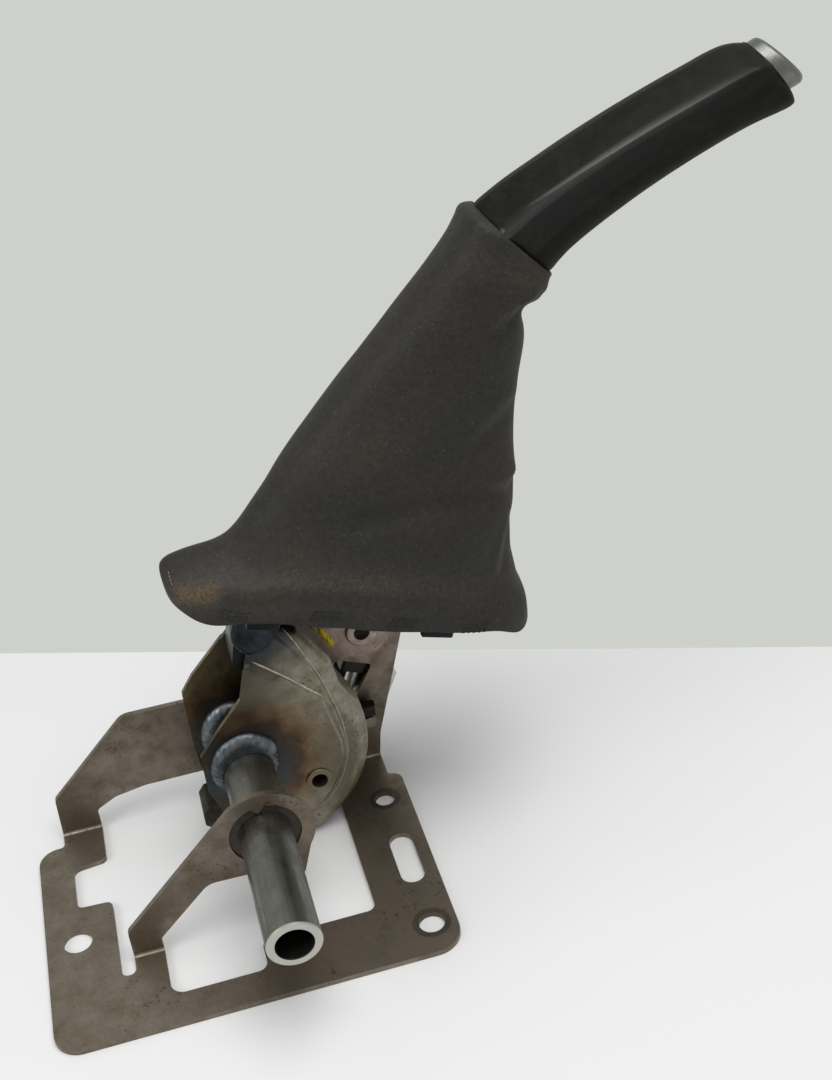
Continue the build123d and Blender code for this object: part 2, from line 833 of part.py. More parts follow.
with BuildPart() as switch_plunger:
    round_bar(switch_tip, switch_angle, plunger_out + 6, plunger_r, plunger_y)
    fillet(switch_plunger.edges().sort_by(Axis.Z)[0], 0.8)
switch_plunger.part.label = "switch_plunger"
export_step(switch_plunger.part, "parts/switch_plunger.step")


# Push rod in the stem; its upper end meets the button's rod at the knee
bisector = (stem_angle + grip_angle) / 2
knee_plane = Plane((knee[0], 0, knee[1]), z_dir=(cos(radians(bisector)), 0, sin(radians(bisector))))
with BuildPart() as push_rod:
    foot = step(drive_at, stem_angle, drive_pin_r + gap)
    round_bar(foot, stem_angle, knee_distance, rod_r)
    split(bisect_by=knee_plane.offset(-gap / 2), keep=Keep.BOTTOM)
push_rod.part.label = "push_rod"
export_step(push_rod.part, "parts/push_rod.step")

with BuildPart() as rod_guide:
    guide_foot = step(stem_root, stem_angle, guide_along)
    round_bar(guide_foot, stem_angle, guide_length, stem_r - stem_wall - snug)
    round_bar(guide_foot, stem_angle, guide_length, rod_r + running, mode=Mode.SUBTRACT)
rod_guide.part.label = "rod_guide"
export_step(rod_guide.part, "parts/rod_guide.step")

with BuildPart() as stem_plug:
    plug_foot = step(knee, grip_angle, stem_end - guide_length)
    round_bar(plug_foot, grip_angle, guide_length, stem_r - stem_wall - snug)
    round_bar(step(knee, grip_angle, stem_end), grip_angle, plug_flange, stem_r)
    round_bar(plug_foot, grip_angle, guide_length + plug_flange, rod_r + running, mode=Mode.SUBTRACT)
stem_plug.part.label = "stem_plug"
export_step(stem_plug.part, "parts/stem_plug.step")


# Button with its rod, in the end of the grip
crown_at = step(knee, grip_angle, grip_end + button_out)
crown_side = (cos(radians(crown_slant)), 0, sin(radians(crown_slant)))
button_floor = grip_end - button_wall - 2
with BuildPart() as button:
    skirt_at = step(knee, grip_angle, button_skirt)
    round_bar(skirt_at, grip_angle, 2 * button_r + grip_end - button_skirt, button_r)
    split(bisect_by=Plane((crown_at[0], 0, crown_at[1]), z_dir=crown_side), keep=Keep.BOTTOM)
    crown = button.faces().sort_by(Axis((knee[0], 0, knee[1]), crown_side))[-1]
    fillet(crown.edges(), 2.5)
    hollow_r = button_r - button_wall
    round_bar(skirt_at, grip_angle, button_floor - button_skirt, hollow_r, mode=Mode.SUBTRACT)
button.part.label = "button"
export_step(button.part, "parts/button.step")

with BuildPart() as button_rod:
    round_bar(step(knee, grip_angle, -10), grip_angle, button_floor + 10, rod_r)
    split(bisect_by=knee_plane.offset(gap / 2), keep=Keep.TOP)
button_rod.part.label = "button_rod"
export_step(button_rod.part, "parts/button_rod.step")

# Return spring, drawn at the length that it has when the button is pressed
spring_foot = stem_end + plug_flange + button_travel + gap
with BuildPart() as button_spring:
    seat = step(knee, grip_angle, spring_foot + spring_wire_r)
    coil_length = button_floor - spring_foot - 2 * spring_wire_r - gap
    axis = (cos(radians(grip_angle)), 0, sin(radians(grip_angle)))
    seat_at = (seat[0], 0, seat[1])
    with BuildLine():
        coil = Helix(coil_length / spring_turns, coil_length, spring_r, center=seat_at, direction=axis)
    with BuildSketch(Plane(coil @ 0, z_dir=coil % 0)):
        Circle(spring_wire_r)
    sweep(is_frenet=True)
button_spring.part.label = "button_spring"
export_step(button_spring.part, "parts/button_spring.step")


# Grip, a moulded handle round the stem's upper end
def grip_section(centre, angle, rise, drop, width):
    """Section of the grip: a domed top down to side ridges, drawn in below them."""
    face = Plane(
        (centre[0], 0, centre[1]),
        x_dir=(0, -1, 0),
        z_dir=(cos(radians(angle)), 0, sin(radians(angle))),
    )
    half = width / 2
    side = [
        (0.62 * half, 0.84 * rise),
        (half, ridge_share * rise),
        (half - ridge_overhang, -0.1 * drop),
        (0.56 * half, -0.9 * drop),
    ]
    mirrored = [(-x, v) for x, v in reversed(side)]
    rounds = [6, ridge_round, 5, 7]
    with BuildSketch(face) as section:
        with BuildLine():
            FilletPolyline(
                (0, rise),
                *side,
                (0, -drop),
                *mirrored,
                radius=[16, *rounds, 14, *reversed(rounds)],
                close=True,
            )
        make_face()
    return section.sketch


def grip_point(along, rise):
    """Point in the middle plane, along the grip's axis and above it."""
    return step(step(knee, grip_angle, along), grip_angle + 90, rise)


grip_foot = step(stem_root, stem_angle, grip_base)
with BuildPart() as grip:
    sections = [grip_section(grip_foot, grip_base_angle, grip_base_rise, grip_base_drop, grip_base_width)]
    for along, rise, drop, width in grip_sections:
        sections.append(grip_section(step(knee, grip_angle, along), grip_angle, rise, drop, width))
    loft(sections)
    # Rounded end, first in the side view and then across
    end_fall = tan(radians(end_slant - grip_angle))
    end_top = (grip_end - 17.2 * end_fall, 17.2)
    end_bottom = (grip_end + 21 * end_fall, -21)
    with BuildSketch(across(30)) as side_view:
        with BuildLine():
            FilletPolyline(
                grip_point(-70, 70),
                grip_point(40, 19.6),
                grip_point(*end_top),
                grip_point(*end_bottom),
                grip_point(60, -19),
                grip_point(-70, -70),
                radius=[0, 0, grip_top_round, grip_bottom_round, 0, 0],
                close=True,
            )
        make_face()
    extrude(side_view.sketch, amount=60, mode=Mode.INTERSECT)
    end_at = grip_point(grip_end, 0)
    end_plan = Plane(
        (end_at[0], 0, end_at[1]),
        x_dir=(cos(radians(end_slant)), 0, sin(radians(end_slant))),
        z_dir=(-sin(radians(end_slant)), 0, cos(radians(end_slant))),
    )
    with BuildSketch(end_plan) as plan_view:
        with Locations((-100, 0)):
            Rectangle(200, grip_base_width + 1)
        fillet(plan_view.vertices().group_by(Axis.X)[-1], grip_side_round)
    extrude(plan_view.sketch, amount=90, both=True, mode=Mode.INTERSECT)
    add(stem_space(stem_r + snug), mode=Mode.SUBTRACT)
    round_bar(step(knee, grip_angle, stem_end), grip_angle, 60, button_r + button_clear, mode=Mode.SUBTRACT)
grip.part.label = "grip"
export_step(grip.part, "parts/grip.step")


# Boot: a sleeve of thin material from the grip's foot to the hem
def boot_plane(left, right):
    """Plane through a section's left and right points, facing the grip."""
    run = (right[0] - left[0], right[1] - left[1])
    middle = ((left[0] + right[0]) / 2, (left[1] + right[1]) / 2)
    return Plane((middle[0], 0, middle[1]), x_dir=(0, 1, 0), z_dir=(-run[1], 0, run[0]))


def boot_section(left, right, half_depth, corner, inset):
    """Rounded section of the boot, smaller by an inset on every side."""
    length = sqrt((right[0] - left[0]) ** 2 + (right[1] - left[1]) ** 2)
    with BuildSketch(boot_plane(left, right)) as section:
        RectangleRounded(2 * (half_depth - inset), length - 2 * inset, corner - inset)
    return section.sketch


hem_run = sqrt((hem_right[0] - hem_left[0]) ** 2 + (hem_right[1] - hem_left[1]) ** 2)
hem_angle = -degrees(asin((hem_left[1] - hem_right[1]) / hem_run))
hem_top_left = step(step(hem_left, hem_angle + 90, hem_h), hem_angle, hem_taper)
hem_top_right = step(step(hem_right, hem_angle + 90, hem_h), hem_angle + 180, hem_taper)
collar_middle = step(grip_foot, grip_base_angle + 180, gap)
collar_left = step(collar_middle, grip_base_angle + 90, grip_base_rise + boot_wall)
collar_right = step(collar_middle, grip_base_angle - 90, grip_base_drop + boot_wall)
collar_half = grip_base_width / 2 + boot_wall
sleeve = [(hem_left, hem_right, hem_half_depth, hem_corner)]
sleeve.append((hem_top_left, hem_top_right, hem_half_depth - 1, hem_corner))
sleeve += boot_sections
sleeve.append((collar_left, collar_right, collar_half, collar_half - 2))

with BuildPart() as boot:
    loft([boot_section(*section, 0) for section in sleeve], ruled=True)
    loft([boot_section(*section, boot_wall) for section in sleeve], ruled=True, mode=Mode.SUBTRACT)
boot.part.label = "boot"
export_step(boot.part, "parts/boot.step")

# Collar that holds the boot's top on the stem
with BuildPart() as boot_collar:
    loft([boot_section(*section, boot_wall + snug) for section in sleeve[-2:]], ruled=True)
    split(bisect_by=boot_plane(collar_left, collar_right).offset(-collar_h), keep=Keep.TOP)
    add(stem_space(stem_r + snug), mode=Mode.SUBTRACT)
boot_collar.part.label = "boot_collar"
export_step(boot_collar.part, "parts/boot_collar.step")

# Plastic frame inside the hem, with two clips below its front edge
with BuildPart() as boot_frame:
    hem_plane = boot_plane(hem_left, hem_right)
    frame_out = boot_wall + 2 * snug + hem_taper
    with BuildSketch(hem_plane):
        RectangleRounded(2 * (hem_half_depth - frame_out), hem_run - 2 * frame_out, hem_corner - frame_out)
        offset(amount=-frame_wall, mode=Mode.SUBTRACT)
    extrude(amount=frame_h)
    with BuildSketch(hem_plane):
        for along in clips_along:
            with Locations((frame_out + frame_wall / 2 - hem_half_depth, along)):
                Rectangle(clip_thick, clip_width)
    extrude(amount=-clip_drop)
boot_frame.part.label = "boot_frame"
export_step(boot_frame.part, "parts/boot_frame.step")


# Screw that holds the switch from behind
with BuildPart() as switch_screw:
    cross_bar(screw_at, screw_r, upright_front, switch_back)
    cross_bar(screw_at, screw_head_r, switch_back, switch_back + 2)
switch_screw.part.label = "switch_screw"
export_step(switch_screw.part, "parts/switch_screw.step")

# Bright terminal that reaches past the upright's right edge
terminal_out = switch_width / 2 + snug + clip_sheet / 2
terminal_root = step(step(switch_base, switch_angle, 8), switch_angle - 90, terminal_out)
with BuildPart() as switch_terminal:
    with BuildSketch(across(switch_middle + clip_span / 2)):
        with BuildLine():
            FilletPolyline(
                step(terminal_root, switch_angle, 5),
                terminal_root,
                (71.5, 3.5),
                (77.0, -7.0),
                (71.5, -19.0),
                radius=1.5,
            )
        trace(line_width=clip_sheet)
    extrude(amount=clip_span)
switch_terminal.part.label = "switch_terminal"
export_step(switch_terminal.part, "parts/switch_terminal.step")
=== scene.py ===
import json
from math import cos, exp, pi, radians, sin

import bmesh
import bpy
from mathutils import Matrix, Vector, noise
from mathutils.bvhtree import BVHTree


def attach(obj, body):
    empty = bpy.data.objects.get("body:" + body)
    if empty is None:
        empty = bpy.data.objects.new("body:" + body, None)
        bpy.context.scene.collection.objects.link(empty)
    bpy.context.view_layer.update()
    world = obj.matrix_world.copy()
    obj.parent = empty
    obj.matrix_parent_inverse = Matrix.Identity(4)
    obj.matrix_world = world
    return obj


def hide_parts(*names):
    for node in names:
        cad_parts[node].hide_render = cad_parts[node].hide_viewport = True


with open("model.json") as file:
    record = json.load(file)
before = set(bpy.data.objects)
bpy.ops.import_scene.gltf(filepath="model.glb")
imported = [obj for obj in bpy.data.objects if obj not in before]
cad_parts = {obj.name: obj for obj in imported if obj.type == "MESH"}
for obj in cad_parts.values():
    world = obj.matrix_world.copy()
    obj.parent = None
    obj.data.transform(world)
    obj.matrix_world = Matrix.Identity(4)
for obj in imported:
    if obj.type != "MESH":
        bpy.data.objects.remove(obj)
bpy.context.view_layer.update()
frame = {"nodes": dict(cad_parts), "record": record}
nodes = frame["nodes"]
mm = 0.001


# Table and wall: a plain white table top, with a pale grey wall behind it.
# The table's back edge runs at a slight angle, and the wall is the world's own colour.
def linear(code):
    """Linear colour of an sRGB hex value."""
    shares = [int(code[place:place + 2], 16) / 255 for place in (1, 3, 5)]
    return [s / 12.92 if s <= 0.04045 else ((s + 0.055) / 1.055) ** 2.4 for s in shares] + [1.0]


def node(tree, kind, sockets=None, **settings):
    """Add a node, apply its settings, then fill or link its sockets."""
    made = tree.nodes.new(kind)
    for name, value in settings.items():
        setattr(made, name, value)
    for name, value in (sockets or {}).items():
        if isinstance(value, bpy.types.NodeSocket):
            tree.links.new(value, made.inputs[name])
        else:
            made.inputs[name].default_value = value
    return made


def material(name):
    """New node material; returns it, its tree and its output node."""
    made = bpy.data.materials.new(name)
    made.use_nodes = True
    made.node_tree.nodes.clear()
    output = node(made.node_tree, "ShaderNodeOutputMaterial")
    return made, made.node_tree, output


def mesh_object(name, shape, finish):
    """Object from a bmesh, with one material and smooth faces."""
    data = bpy.data.meshes.new(name)
    shape.to_mesh(data)
    shape.free()
    data.materials.append(finish)
    for face in data.polygons:
        face.use_smooth = True
    made = bpy.data.objects.new(name, data)
    bpy.context.scene.collection.objects.link(made)
    return made


table_size = 6.0
table_back_turn = radians(-21.9)
table_back = Vector((100.4, 103.8, -50)) * mm

white_top, tree, output = material("white_table_top")
top_shader = node(tree, "ShaderNodeBsdfPrincipled", {"Base Color": linear("#EAEAE9"), "Roughness": 0.5})
tree.links.new(top_shader.outputs[0], output.inputs[0])

shape = bmesh.new()
bmesh.ops.create_grid(shape, x_segments=1, y_segments=1, size=table_size / 2)
bmesh.ops.translate(shape, verts=shape.verts, vec=(0, -table_size / 2, 0))
bmesh.ops.rotate(shape, verts=shape.verts, matrix=Matrix.Rotation(table_back_turn, 3, "Z"))
bmesh.ops.translate(shape, verts=shape.verts, vec=table_back)
table = mesh_object("table", shape, white_top)

world = bpy.data.worlds.new("pale_room")
bpy.context.scene.world = world
world.use_nodes = True
tree = world.node_tree
tree.nodes.clear()
paths = node(tree, "ShaderNodeLightPath")
seen = node(tree, "ShaderNodeMath", {
    0: paths.outputs["Is Camera Ray"], 1: paths.outputs["Is Glossy Ray"],
}, operation="MAXIMUM")
room = node(tree, "ShaderNodeBackground", {"Color": linear("#D8DADC"), "Strength": 0.55})
backdrop = node(tree, "ShaderNodeBackground", {"Color": linear("#CED0CC"), "Strength": 1.0})
chosen = node(tree, "ShaderNodeMixShader", {0: seen.outputs[0], 1: room.outputs[0], 2: backdrop.outputs[0]})
node(tree, "ShaderNodeOutputWorld", {0: chosen.outputs[0]})


# Light: a broad soft lamp overhead, a little to the right, and a weak one low on the left.
def lamp(name, place, aim, size, power):
    """Square area lamp at a place, turned to its aim."""
    light = bpy.data.lights.new(name, "AREA")
    light.size = size
    light.energy = power
    made = bpy.data.objects.new(name, light)
    bpy.context.scene.collection.objects.link(made)
    made.location = place
    made.rotation_mode = "QUATERNION"
    made.rotation_quaternion = (Vector(aim) - Vector(place)).to_track_quat("-Z", "Y")


lamp("ceiling_lamp", place=(0.25, -0.3, 1.5), aim=(0.05, 0, 0.05), size=1.2, power=17)
lamp("side_lamp", place=(-1.1, -0.5, 0.8), aim=(0, 0, 0), size=0.7, power=5)


# Camera: in front, above and a little to the left, at the photograph's viewpoint.
# Its place and turn come from a perspective fit to the edges and holes of the base plate.
focal_pixels = 1560.614
frame_height = 1080
sensor = 36.0
right = Vector((0.96143076, -0.2545118, -0.10428148))
up = Vector((0.22444125, 0.50680586, 0.83233043))
ahead = Vector((0.15898745, 0.82363315, -0.54438169))
viewpoint = Vector((-15.211, -532.740, 437.174)) * mm
camera_data = bpy.data.cameras.new("camera")
camera_data.sensor_width = sensor
camera_data.lens = focal_pixels / frame_height * sensor
camera_data.clip_start = 0.01
camera = bpy.data.objects.new("camera", camera_data)
bpy.context.scene.collection.objects.link(camera)
turn = Matrix((right, up, -ahead)).transposed()
camera.matrix_world = Matrix.Translation(viewpoint) @ turn.to_4x4()
bpy.context.scene.camera = camera
bpy.context.scene.view_settings.view_transform = "Standard"


# Base bracket: one pressed sheet of mild steel, left bare and wiped with oil.
# It shows a mottled brown-grey film, fine grit and scattered small dark pits.
grit_mm = 0.55
pit_mm = 1.5
pitted_area_mm = 19


def bare_steel(name, clean, film, pit, roughness, metallic=1.0, grain_mm=9.0, pitted=0.6):
    """Bare steel, clean under patches of film and dark pits; returns it, its tree, place and shader."""
    made, tree, output = material(name)
    place = node(tree, "ShaderNodeTexCoord").outputs["Object"]
    blotch = node(tree, "ShaderNodeTexNoise", {
        "Vector": place, "Scale": 1 / (grain_mm * mm), "Detail": 6.0, "Roughness": 0.66,
    })
    patch = node(tree, "ShaderNodeMapRange", {
        "Value": blotch.outputs[0], "From Min": 0.25, "From Max": 0.75,
    })
    tint = node(tree, "ShaderNodeMix", {
        0: patch.outputs[0], 6: linear(clean), 7: linear(film),
    }, data_type="RGBA")
    speck = node(tree, "ShaderNodeTexNoise", {
        "Vector": place, "Scale": 1 / (pit_mm * mm), "Detail": 2.0, "Roughness": 0.5,
    })
    where = node(tree, "ShaderNodeTexNoise", {
        "Vector": place, "Scale": 1 / (pitted_area_mm * mm), "Detail": 2.0,
    })
    level = node(tree, "ShaderNodeMath", {
        0: where.outputs[0], 1: 0.55, 2: speck.outputs[0],
    }, operation="MULTIPLY_ADD")
    pits = node(tree, "ShaderNodeMapRange", {
        "Value": level.outputs[0], "From Min": 0.95, "From Max": 1.02, "To Max": pitted,
    })
    colour = node(tree, "ShaderNodeMix", {
        0: pits.outputs[0], 6: tint.outputs[2], 7: linear(pit),
    }, data_type="RGBA")
    grit = node(tree, "ShaderNodeTexNoise", {
        "Vector": place, "Scale": 1 / (grit_mm * mm), "Detail": 3.0, "Roughness": 0.7,
    })
    gritty = node(tree, "ShaderNodeMapRange", {
        "Value": grit.outputs[0], "From Min": 0.3, "From Max": 0.7, "To Min": 0.84, "To Max": 1.1,
    })
    grained = node(tree, "ShaderNodeMix", {
        0: 1.0, 6: colour.outputs[2], 7: gritty.outputs[0],
    }, data_type="RGBA", blend_type="MULTIPLY")
    matt = node(tree, "ShaderNodeMapRange", {
        "Value": blotch.outputs[0], "From Min": 0.3, "From Max": 0.7,
        "To Min": roughness - 0.08, "To Max": roughness + 0.12,
    })
    relief = node(tree, "ShaderNodeMath", {0: grit.outputs[0], 1: pits.outputs[0]}, operation="SUBTRACT")
    bump = node(tree, "ShaderNodeBump", {
        "Height": relief.outputs[0], "Strength": 0.25, "Distance": 0.1 * mm,
    })
    shader = node(tree, "ShaderNodeBsdfPrincipled", {
        "Base Color": grained.outputs[2], "Metallic": metallic,
        "Roughness": matt.outputs[0], "Normal": bump.outputs[0],
    })
    tree.links.new(shader.outputs[0], output.inputs[0])
    return made, tree, place, shader


def lay_over(tree, shader, share, colour):
    """Lay a colour over what a shader has as its base colour, by a share from 0 to 1."""
    below = shader.inputs["Base Color"].links[0].from_socket
    over = node(tree, "ShaderNodeMix", {0: share, 6: below, 7: colour}, data_type="RGBA")
    tree.links.new(over.outputs[2], shader.inputs["Base Color"])


seen_from_above = (1 / mm, 1 / mm, 0)
seen_from_side = (1 / mm, 0, 1 / mm)


def away_from(tree, place, middle, view):
    """Distance in mm from a line through a middle point along the view."""
    flat = node(tree, "ShaderNodeVectorMath", {0: place, 1: view}, operation="MULTIPLY")
    away = node(tree, "ShaderNodeVectorMath", {0: flat.outputs[0], 1: middle}, operation="DISTANCE")
    return away.outputs["Value"]


def colour_round_line(tree, place, shader, middle, view, whole, gone, colour, strength):
    """Lay a colour over a steel round a line, such as painted shade: whole up to one radius and gone at the
    next, in mm.
    """
    share = node(tree, "ShaderNodeMapRange", {
        "Value": away_from(tree, place, middle, view),
        "From Min": whole, "From Max": gone, "To Min": strength, "To Max": 0.0,
    })
    lay_over(tree, shader, share.outputs[0], linear(colour))


def dress(name, finish):
    """Give a CAD piece its material."""
    slots = nodes[name].data.materials
    slots.clear()
    slots.append(finish)


bracket_steel, tree, place, shader = bare_steel("oiled_sheet_steel", "#90877B", "#695D50", "#362D25", 0.42)
# The steel is darker in a ring round the two holes on the right
dark_ring_width = 2.2
rim_fade = 0.8
for mount in frame["record"]["mounts"]:
    if mount["name"] in ("front_hole", "back_hole"):
        hole_x, hole_y = mount["pos_m"][:2]
        ring = mount["dims"]["r_mm"] + dark_ring_width
        colour_round_line(
            tree, place, shader, (hole_x / mm, hole_y / mm, 0), seen_from_above,
            ring, ring + rim_fade, "#39312A", 0.5)
dress("base_bracket", bracket_steel)


# Bushes: moulded nylon sleeves, dark brown with grease.
# The rod guide and the stem's plug are moulded of the same nylon.
film_mm = 7


def moulded(name, colour, dusty, roughness, grain_mm, gloss=0.35):
    """Moulded plastic: one colour, greyed by dust in patches, with a fine grain."""
    made, tree, output = material(name)
    place = node(tree, "ShaderNodeTexCoord").outputs["Object"]
    film = node(tree, "ShaderNodeTexNoise", {
        "Vector": place, "Scale": 1 / (film_mm * mm), "Detail": 5.0, "Roughness": 0.7,
    })
    share = node(tree, "ShaderNodeMapRange", {"Value": film.outputs[0], "From Min": 0.45, "From Max": 0.75})
    tint = node(tree, "ShaderNodeMix", {
        0: share.outputs[0], 6: linear(colour), 7: linear(dusty),
    }, data_type="RGBA")
    matt = node(tree, "ShaderNodeMapRange", {
        "Value": film.outputs[0], "From Min": 0.3, "From Max": 0.7,
        "To Min": roughness - 0.08, "To Max": roughness + 0.1,
    })
    grain = node(tree, "ShaderNodeTexNoise", {"Vector": place, "Scale": 1 / (grain_mm * mm), "Detail": 2.0})
    bump = node(tree, "ShaderNodeBump", {
        "Height": grain.outputs[0], "Strength": 0.2, "Distance": 0.1 * mm,
    })
    shader = node(tree, "ShaderNodeBsdfPrincipled", {
        "Base Color": tint.outputs[2], "Roughness": matt.outputs[0],
        "Specular IOR Level": gloss, "Normal": bump.outputs[0],
    })
    tree.links.new(shader.outputs[0], output.inputs[0])
    return made, tree, place, shader


nylon = moulded("greased_nylon", "#2B2520", "#4A4138", 0.4, 0.8)[0]
for name in ("front_bush", "rear_bush", "rod_guide", "stem_plug"):
    dress(name, nylon)


# Cross tube and stem: drawn steel tube, cut to length.
# The drawing leaves faint streaks along it, and the near end is turned bright.
streak_width = 1.6
streak_length = 40
turned_from = -118.0
turned_whole = -118.6

tube_steel, tree, place, shader = bare_steel(
    "drawn_tube_steel", "#888781", "#63625C", "#3A3732", 0.34, grain_mm=12.0, pitted=0.35)
drawn = node(tree, "ShaderNodeMapping", {
    "Vector": place, "Scale": (1 / (streak_width * mm), 1 / (streak_length * mm), 1 / (streak_width * mm)),
})
streaks = node(tree, "ShaderNodeTexNoise", {"Vector": drawn.outputs[0], "Scale": 1.0, "Detail": 3.0})
streaked = node(tree, "ShaderNodeMapRange", {
    "Value": streaks.outputs[0], "From Min": 0.5, "From Max": 0.75, "To Max": 0.5,
})
lay_over(tree, shader, streaked.outputs[0], linear("#55524C"))
along = node(tree, "ShaderNodeSeparateXYZ", {0: place})
turned = node(tree, "ShaderNodeMapRange", {
    "Value": along.outputs["Y"], "From Min": turned_from * mm, "From Max": turned_whole * mm,
})
lay_over(tree, shader, turned.outputs[0], linear("#B9B7B0"))
dress("cross_tube", tube_steel)
dress("lever_stem", tube_steel)


# Lever shells: two pressings of bare steel, coloured by the heat of the welds.
# Round the tube the tints run from blue-black through brown and orange to olive grey.
tube_at = (0.0, 0.0, 0.0)
tube_heat = [  # distance from the tube's axis in mm, tint, strength
    (16.0, "#3B444D", 0.85),
    (19.5, "#3B3C3E", 0.8),
    (23.0, "#49382D", 0.8),
    (28.0, "#735238", 0.65),
    (33.0, "#887657", 0.35),
    (40.0, "#958C78", 0.0),
]
seam_at = (12.0, 0.0, 66.0)
seam_heat = [  # distance from the closing weld's middle in mm, tint, strength
    (8.0, "#22272D", 0.95),
    (13.0, "#33363A", 0.85),
    (20.0, "#4F4C45", 0.6),
    (30.0, "#6E685B", 0.0),
]
heat_reach = 50.0
heat_sway = 10.0
sway_mm = 11


def heat_tint(tree, place, shader, middle, stops):
    """Tint a steel in uneven rings round a line across the lever through a middle point in mm."""
    sway = node(tree, "ShaderNodeTexNoise", {"Vector": place, "Scale": 1 / (sway_mm * mm), "Detail": 4.0})
    swayed = node(tree, "ShaderNodeMath", {
        0: sway.outputs[0], 1: 2 * heat_sway, 2: away_from(tree, place, middle, seen_from_side),
    }, operation="MULTIPLY_ADD")
    reach = node(tree, "ShaderNodeMath", {0: swayed.outputs[0], 1: heat_sway}, operation="SUBTRACT")
    scaled = node(tree, "ShaderNodeMath", {0: reach.outputs[0], 1: heat_reach}, operation="DIVIDE")
    rings = node(tree, "ShaderNodeValToRGB", {0: scaled.outputs[0]})
    ramp = rings.color_ramp
    while len(ramp.elements) < len(stops):
        ramp.elements.new(0.5)
    # All places are set before the colours, because moving a stop can change their order
    for element, (distance, colour, strength) in zip(ramp.elements, stops):
        element.position = distance / heat_reach
    for element, (distance, colour, strength) in zip(ramp.elements, stops):
        element.color = (*linear(colour)[:3], strength)
    lay_over(tree, shader, rings.outputs["Alpha"], rings.outputs["Color"])


near_steel = bare_steel("heat_browned_pressing", "#989183", "#6E6858", "#3A3128", 0.36, grain_mm=6.0)
far_steel = bare_steel(
    "heat_browned_far_pressing", "#96896A", "#62573F", "#2C241A", 0.36, grain_mm=4.0, pitted=0.9)
shells = {"lever_shell_near": near_steel, "lever_shell_far": far_steel}
for name, (finish, tree, place, shader) in shells.items():
    heat_tint(tree, place, shader, tube_at, tube_heat)
    heat_tint(tree, place, shader, seam_at, seam_heat)
    dress(name, finish)


# Pressed edges of the near shell: the groove's edge and the crease.
# Both are fine raised lines whose brighter colour is a painted highlight of the light caught on their
# rounded edges, and the crease is wider and lower.
def sleeve(rings, closed=False):
    """Bmesh of rings of points in mm, bridged one to the next."""
    shape = bmesh.new()
    loops = []
    for points in rings:
        circle = bmesh.ops.create_circle(shape, segments=len(points), radius=1)["verts"]
        for vertex, point in zip(circle, points):
            vertex.co = Vector(point) * mm
        loops.append(list({edge for vertex in circle for edge in vertex.link_edges}))
    pairs = list(zip(loops, loops[1:]))
    if closed:
        pairs.append((loops[-1], loops[0]))
    for low, high in pairs:
        bmesh.ops.bridge_loops(shape, edges=low + high)
    bmesh.ops.recalc_face_normals(shape, faces=shape.faces)
    return shape


def on_run(stops, place):
    """Values at a place on the smooth run through the stops."""
    low = min(int(place), len(stops) - 2)
    t = place - low
    four = [stops[min(max(low + k, 0), len(stops) - 1)] for k in (-1, 0, 1, 2)]
    return [
        0.5 * (2 * b + (c - a) * t + (2 * a - 5 * b + 4 * c - d) * t ** 2 + (3 * b - a - 3 * c + d) * t ** 3)
        for a, b, c, d in zip(*four)
    ]


def whole_run(stops, steps):
    """Values all along the smooth run through the stops, at equal steps between each two."""
    return [on_run(stops, step / steps) for step in range(steps * (len(stops) - 1) + 1)]


edge_sides = 8
edge_ends = 3  # steps over which a line thins out at each end


def pressed_edge(name, stops, width, height):
    """Fine raised line through stops in the shell's plane, laid on the shell's face."""
    laid = []
    for x, z in whole_run(stops, 5):
        hit = near_face.ray_cast(Vector((x, -40, z)) * mm, Vector((0, 1, 0)))[0]
        if hit is not None and hit.y < 0:
            laid.append(hit / mm)
    last = len(laid) - 1
    rings = []
    for number, point in enumerate(laid):
        run = (laid[min(number + 1, last)] - laid[max(number - 1, 0)]).normalized()
        side = run.cross(Vector((0, 1, 0))).normalized()
        fade = min(number, last - number, edge_ends) / edge_ends + 0.05
        ring = []
        for corner in range(edge_sides):
            turn = 2 * pi * corner / edge_sides
            ring.append(point + side * cos(turn) * width * fade + Vector((0, sin(turn) * height * fade, 0)))
        rings.append(ring)
    made = mesh_object(name, sleeve(rings), edge_highlight_steel)
    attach(made, "lever")


near_shell = bmesh.new()
near_shell.from_mesh(nodes["lever_shell_near"].data)
near_face = BVHTree.FromBMesh(near_shell)
near_shell.free()
# The edge lines' light colour is a painted highlight
edge_highlight_steel = bare_steel("burnished_edge", "#C2BCAE", "#8F8878", "#4A443A", 0.3, grain_mm=3.0)[0]
# The groove is an arc round the tube that runs on up the shell's right side
groove_r = 44
groove_stops = [(groove_r * cos(radians(turn)), groove_r * sin(radians(turn))) for turn in range(-50, 0, 12)]
groove_stops += [(43.2, 12), (40.6, 24), (37.2, 37), (32.4, 49.5), (27.6, 61), (22, 68)]
crease_stops = [(37.5, 26.5), (31, 33), (24, 40.5), (17, 47.2), (10.5, 53.5)]
pressed_edge("groove_edge", groove_stops, width=0.32, height=0.3)
pressed_edge("crease_edge", crease_stops, width=0.75, height=0.25)


# Weld beads: steel run round the tube in small overlapping pools, so it is rippled.
# A blue-grey oxide skin covers it, bright where it was brushed.
tube_r = 11.0
bead_out = 4.0
bead_ripples = 30
ripple_height = 0.3
ripple_lag = 1.4
lump_height = 0.7
lump_spread = 2.2
whole_leg = 5.0
bead_overlap = 0.2
bead_steps = 9
bead_segments = 240
# Height of the bead on the shell in mm, at equal steps round the tube from its right side
near_legs = [2.5, 6.5, 8.0, 6.5, 5.0, 4.0, 3.0, 2.0, 2.5]
far_legs = [5.0, 6.0, 7.0, 6.8, 6.0, 5.0, 4.5, 4.5, 5.0]


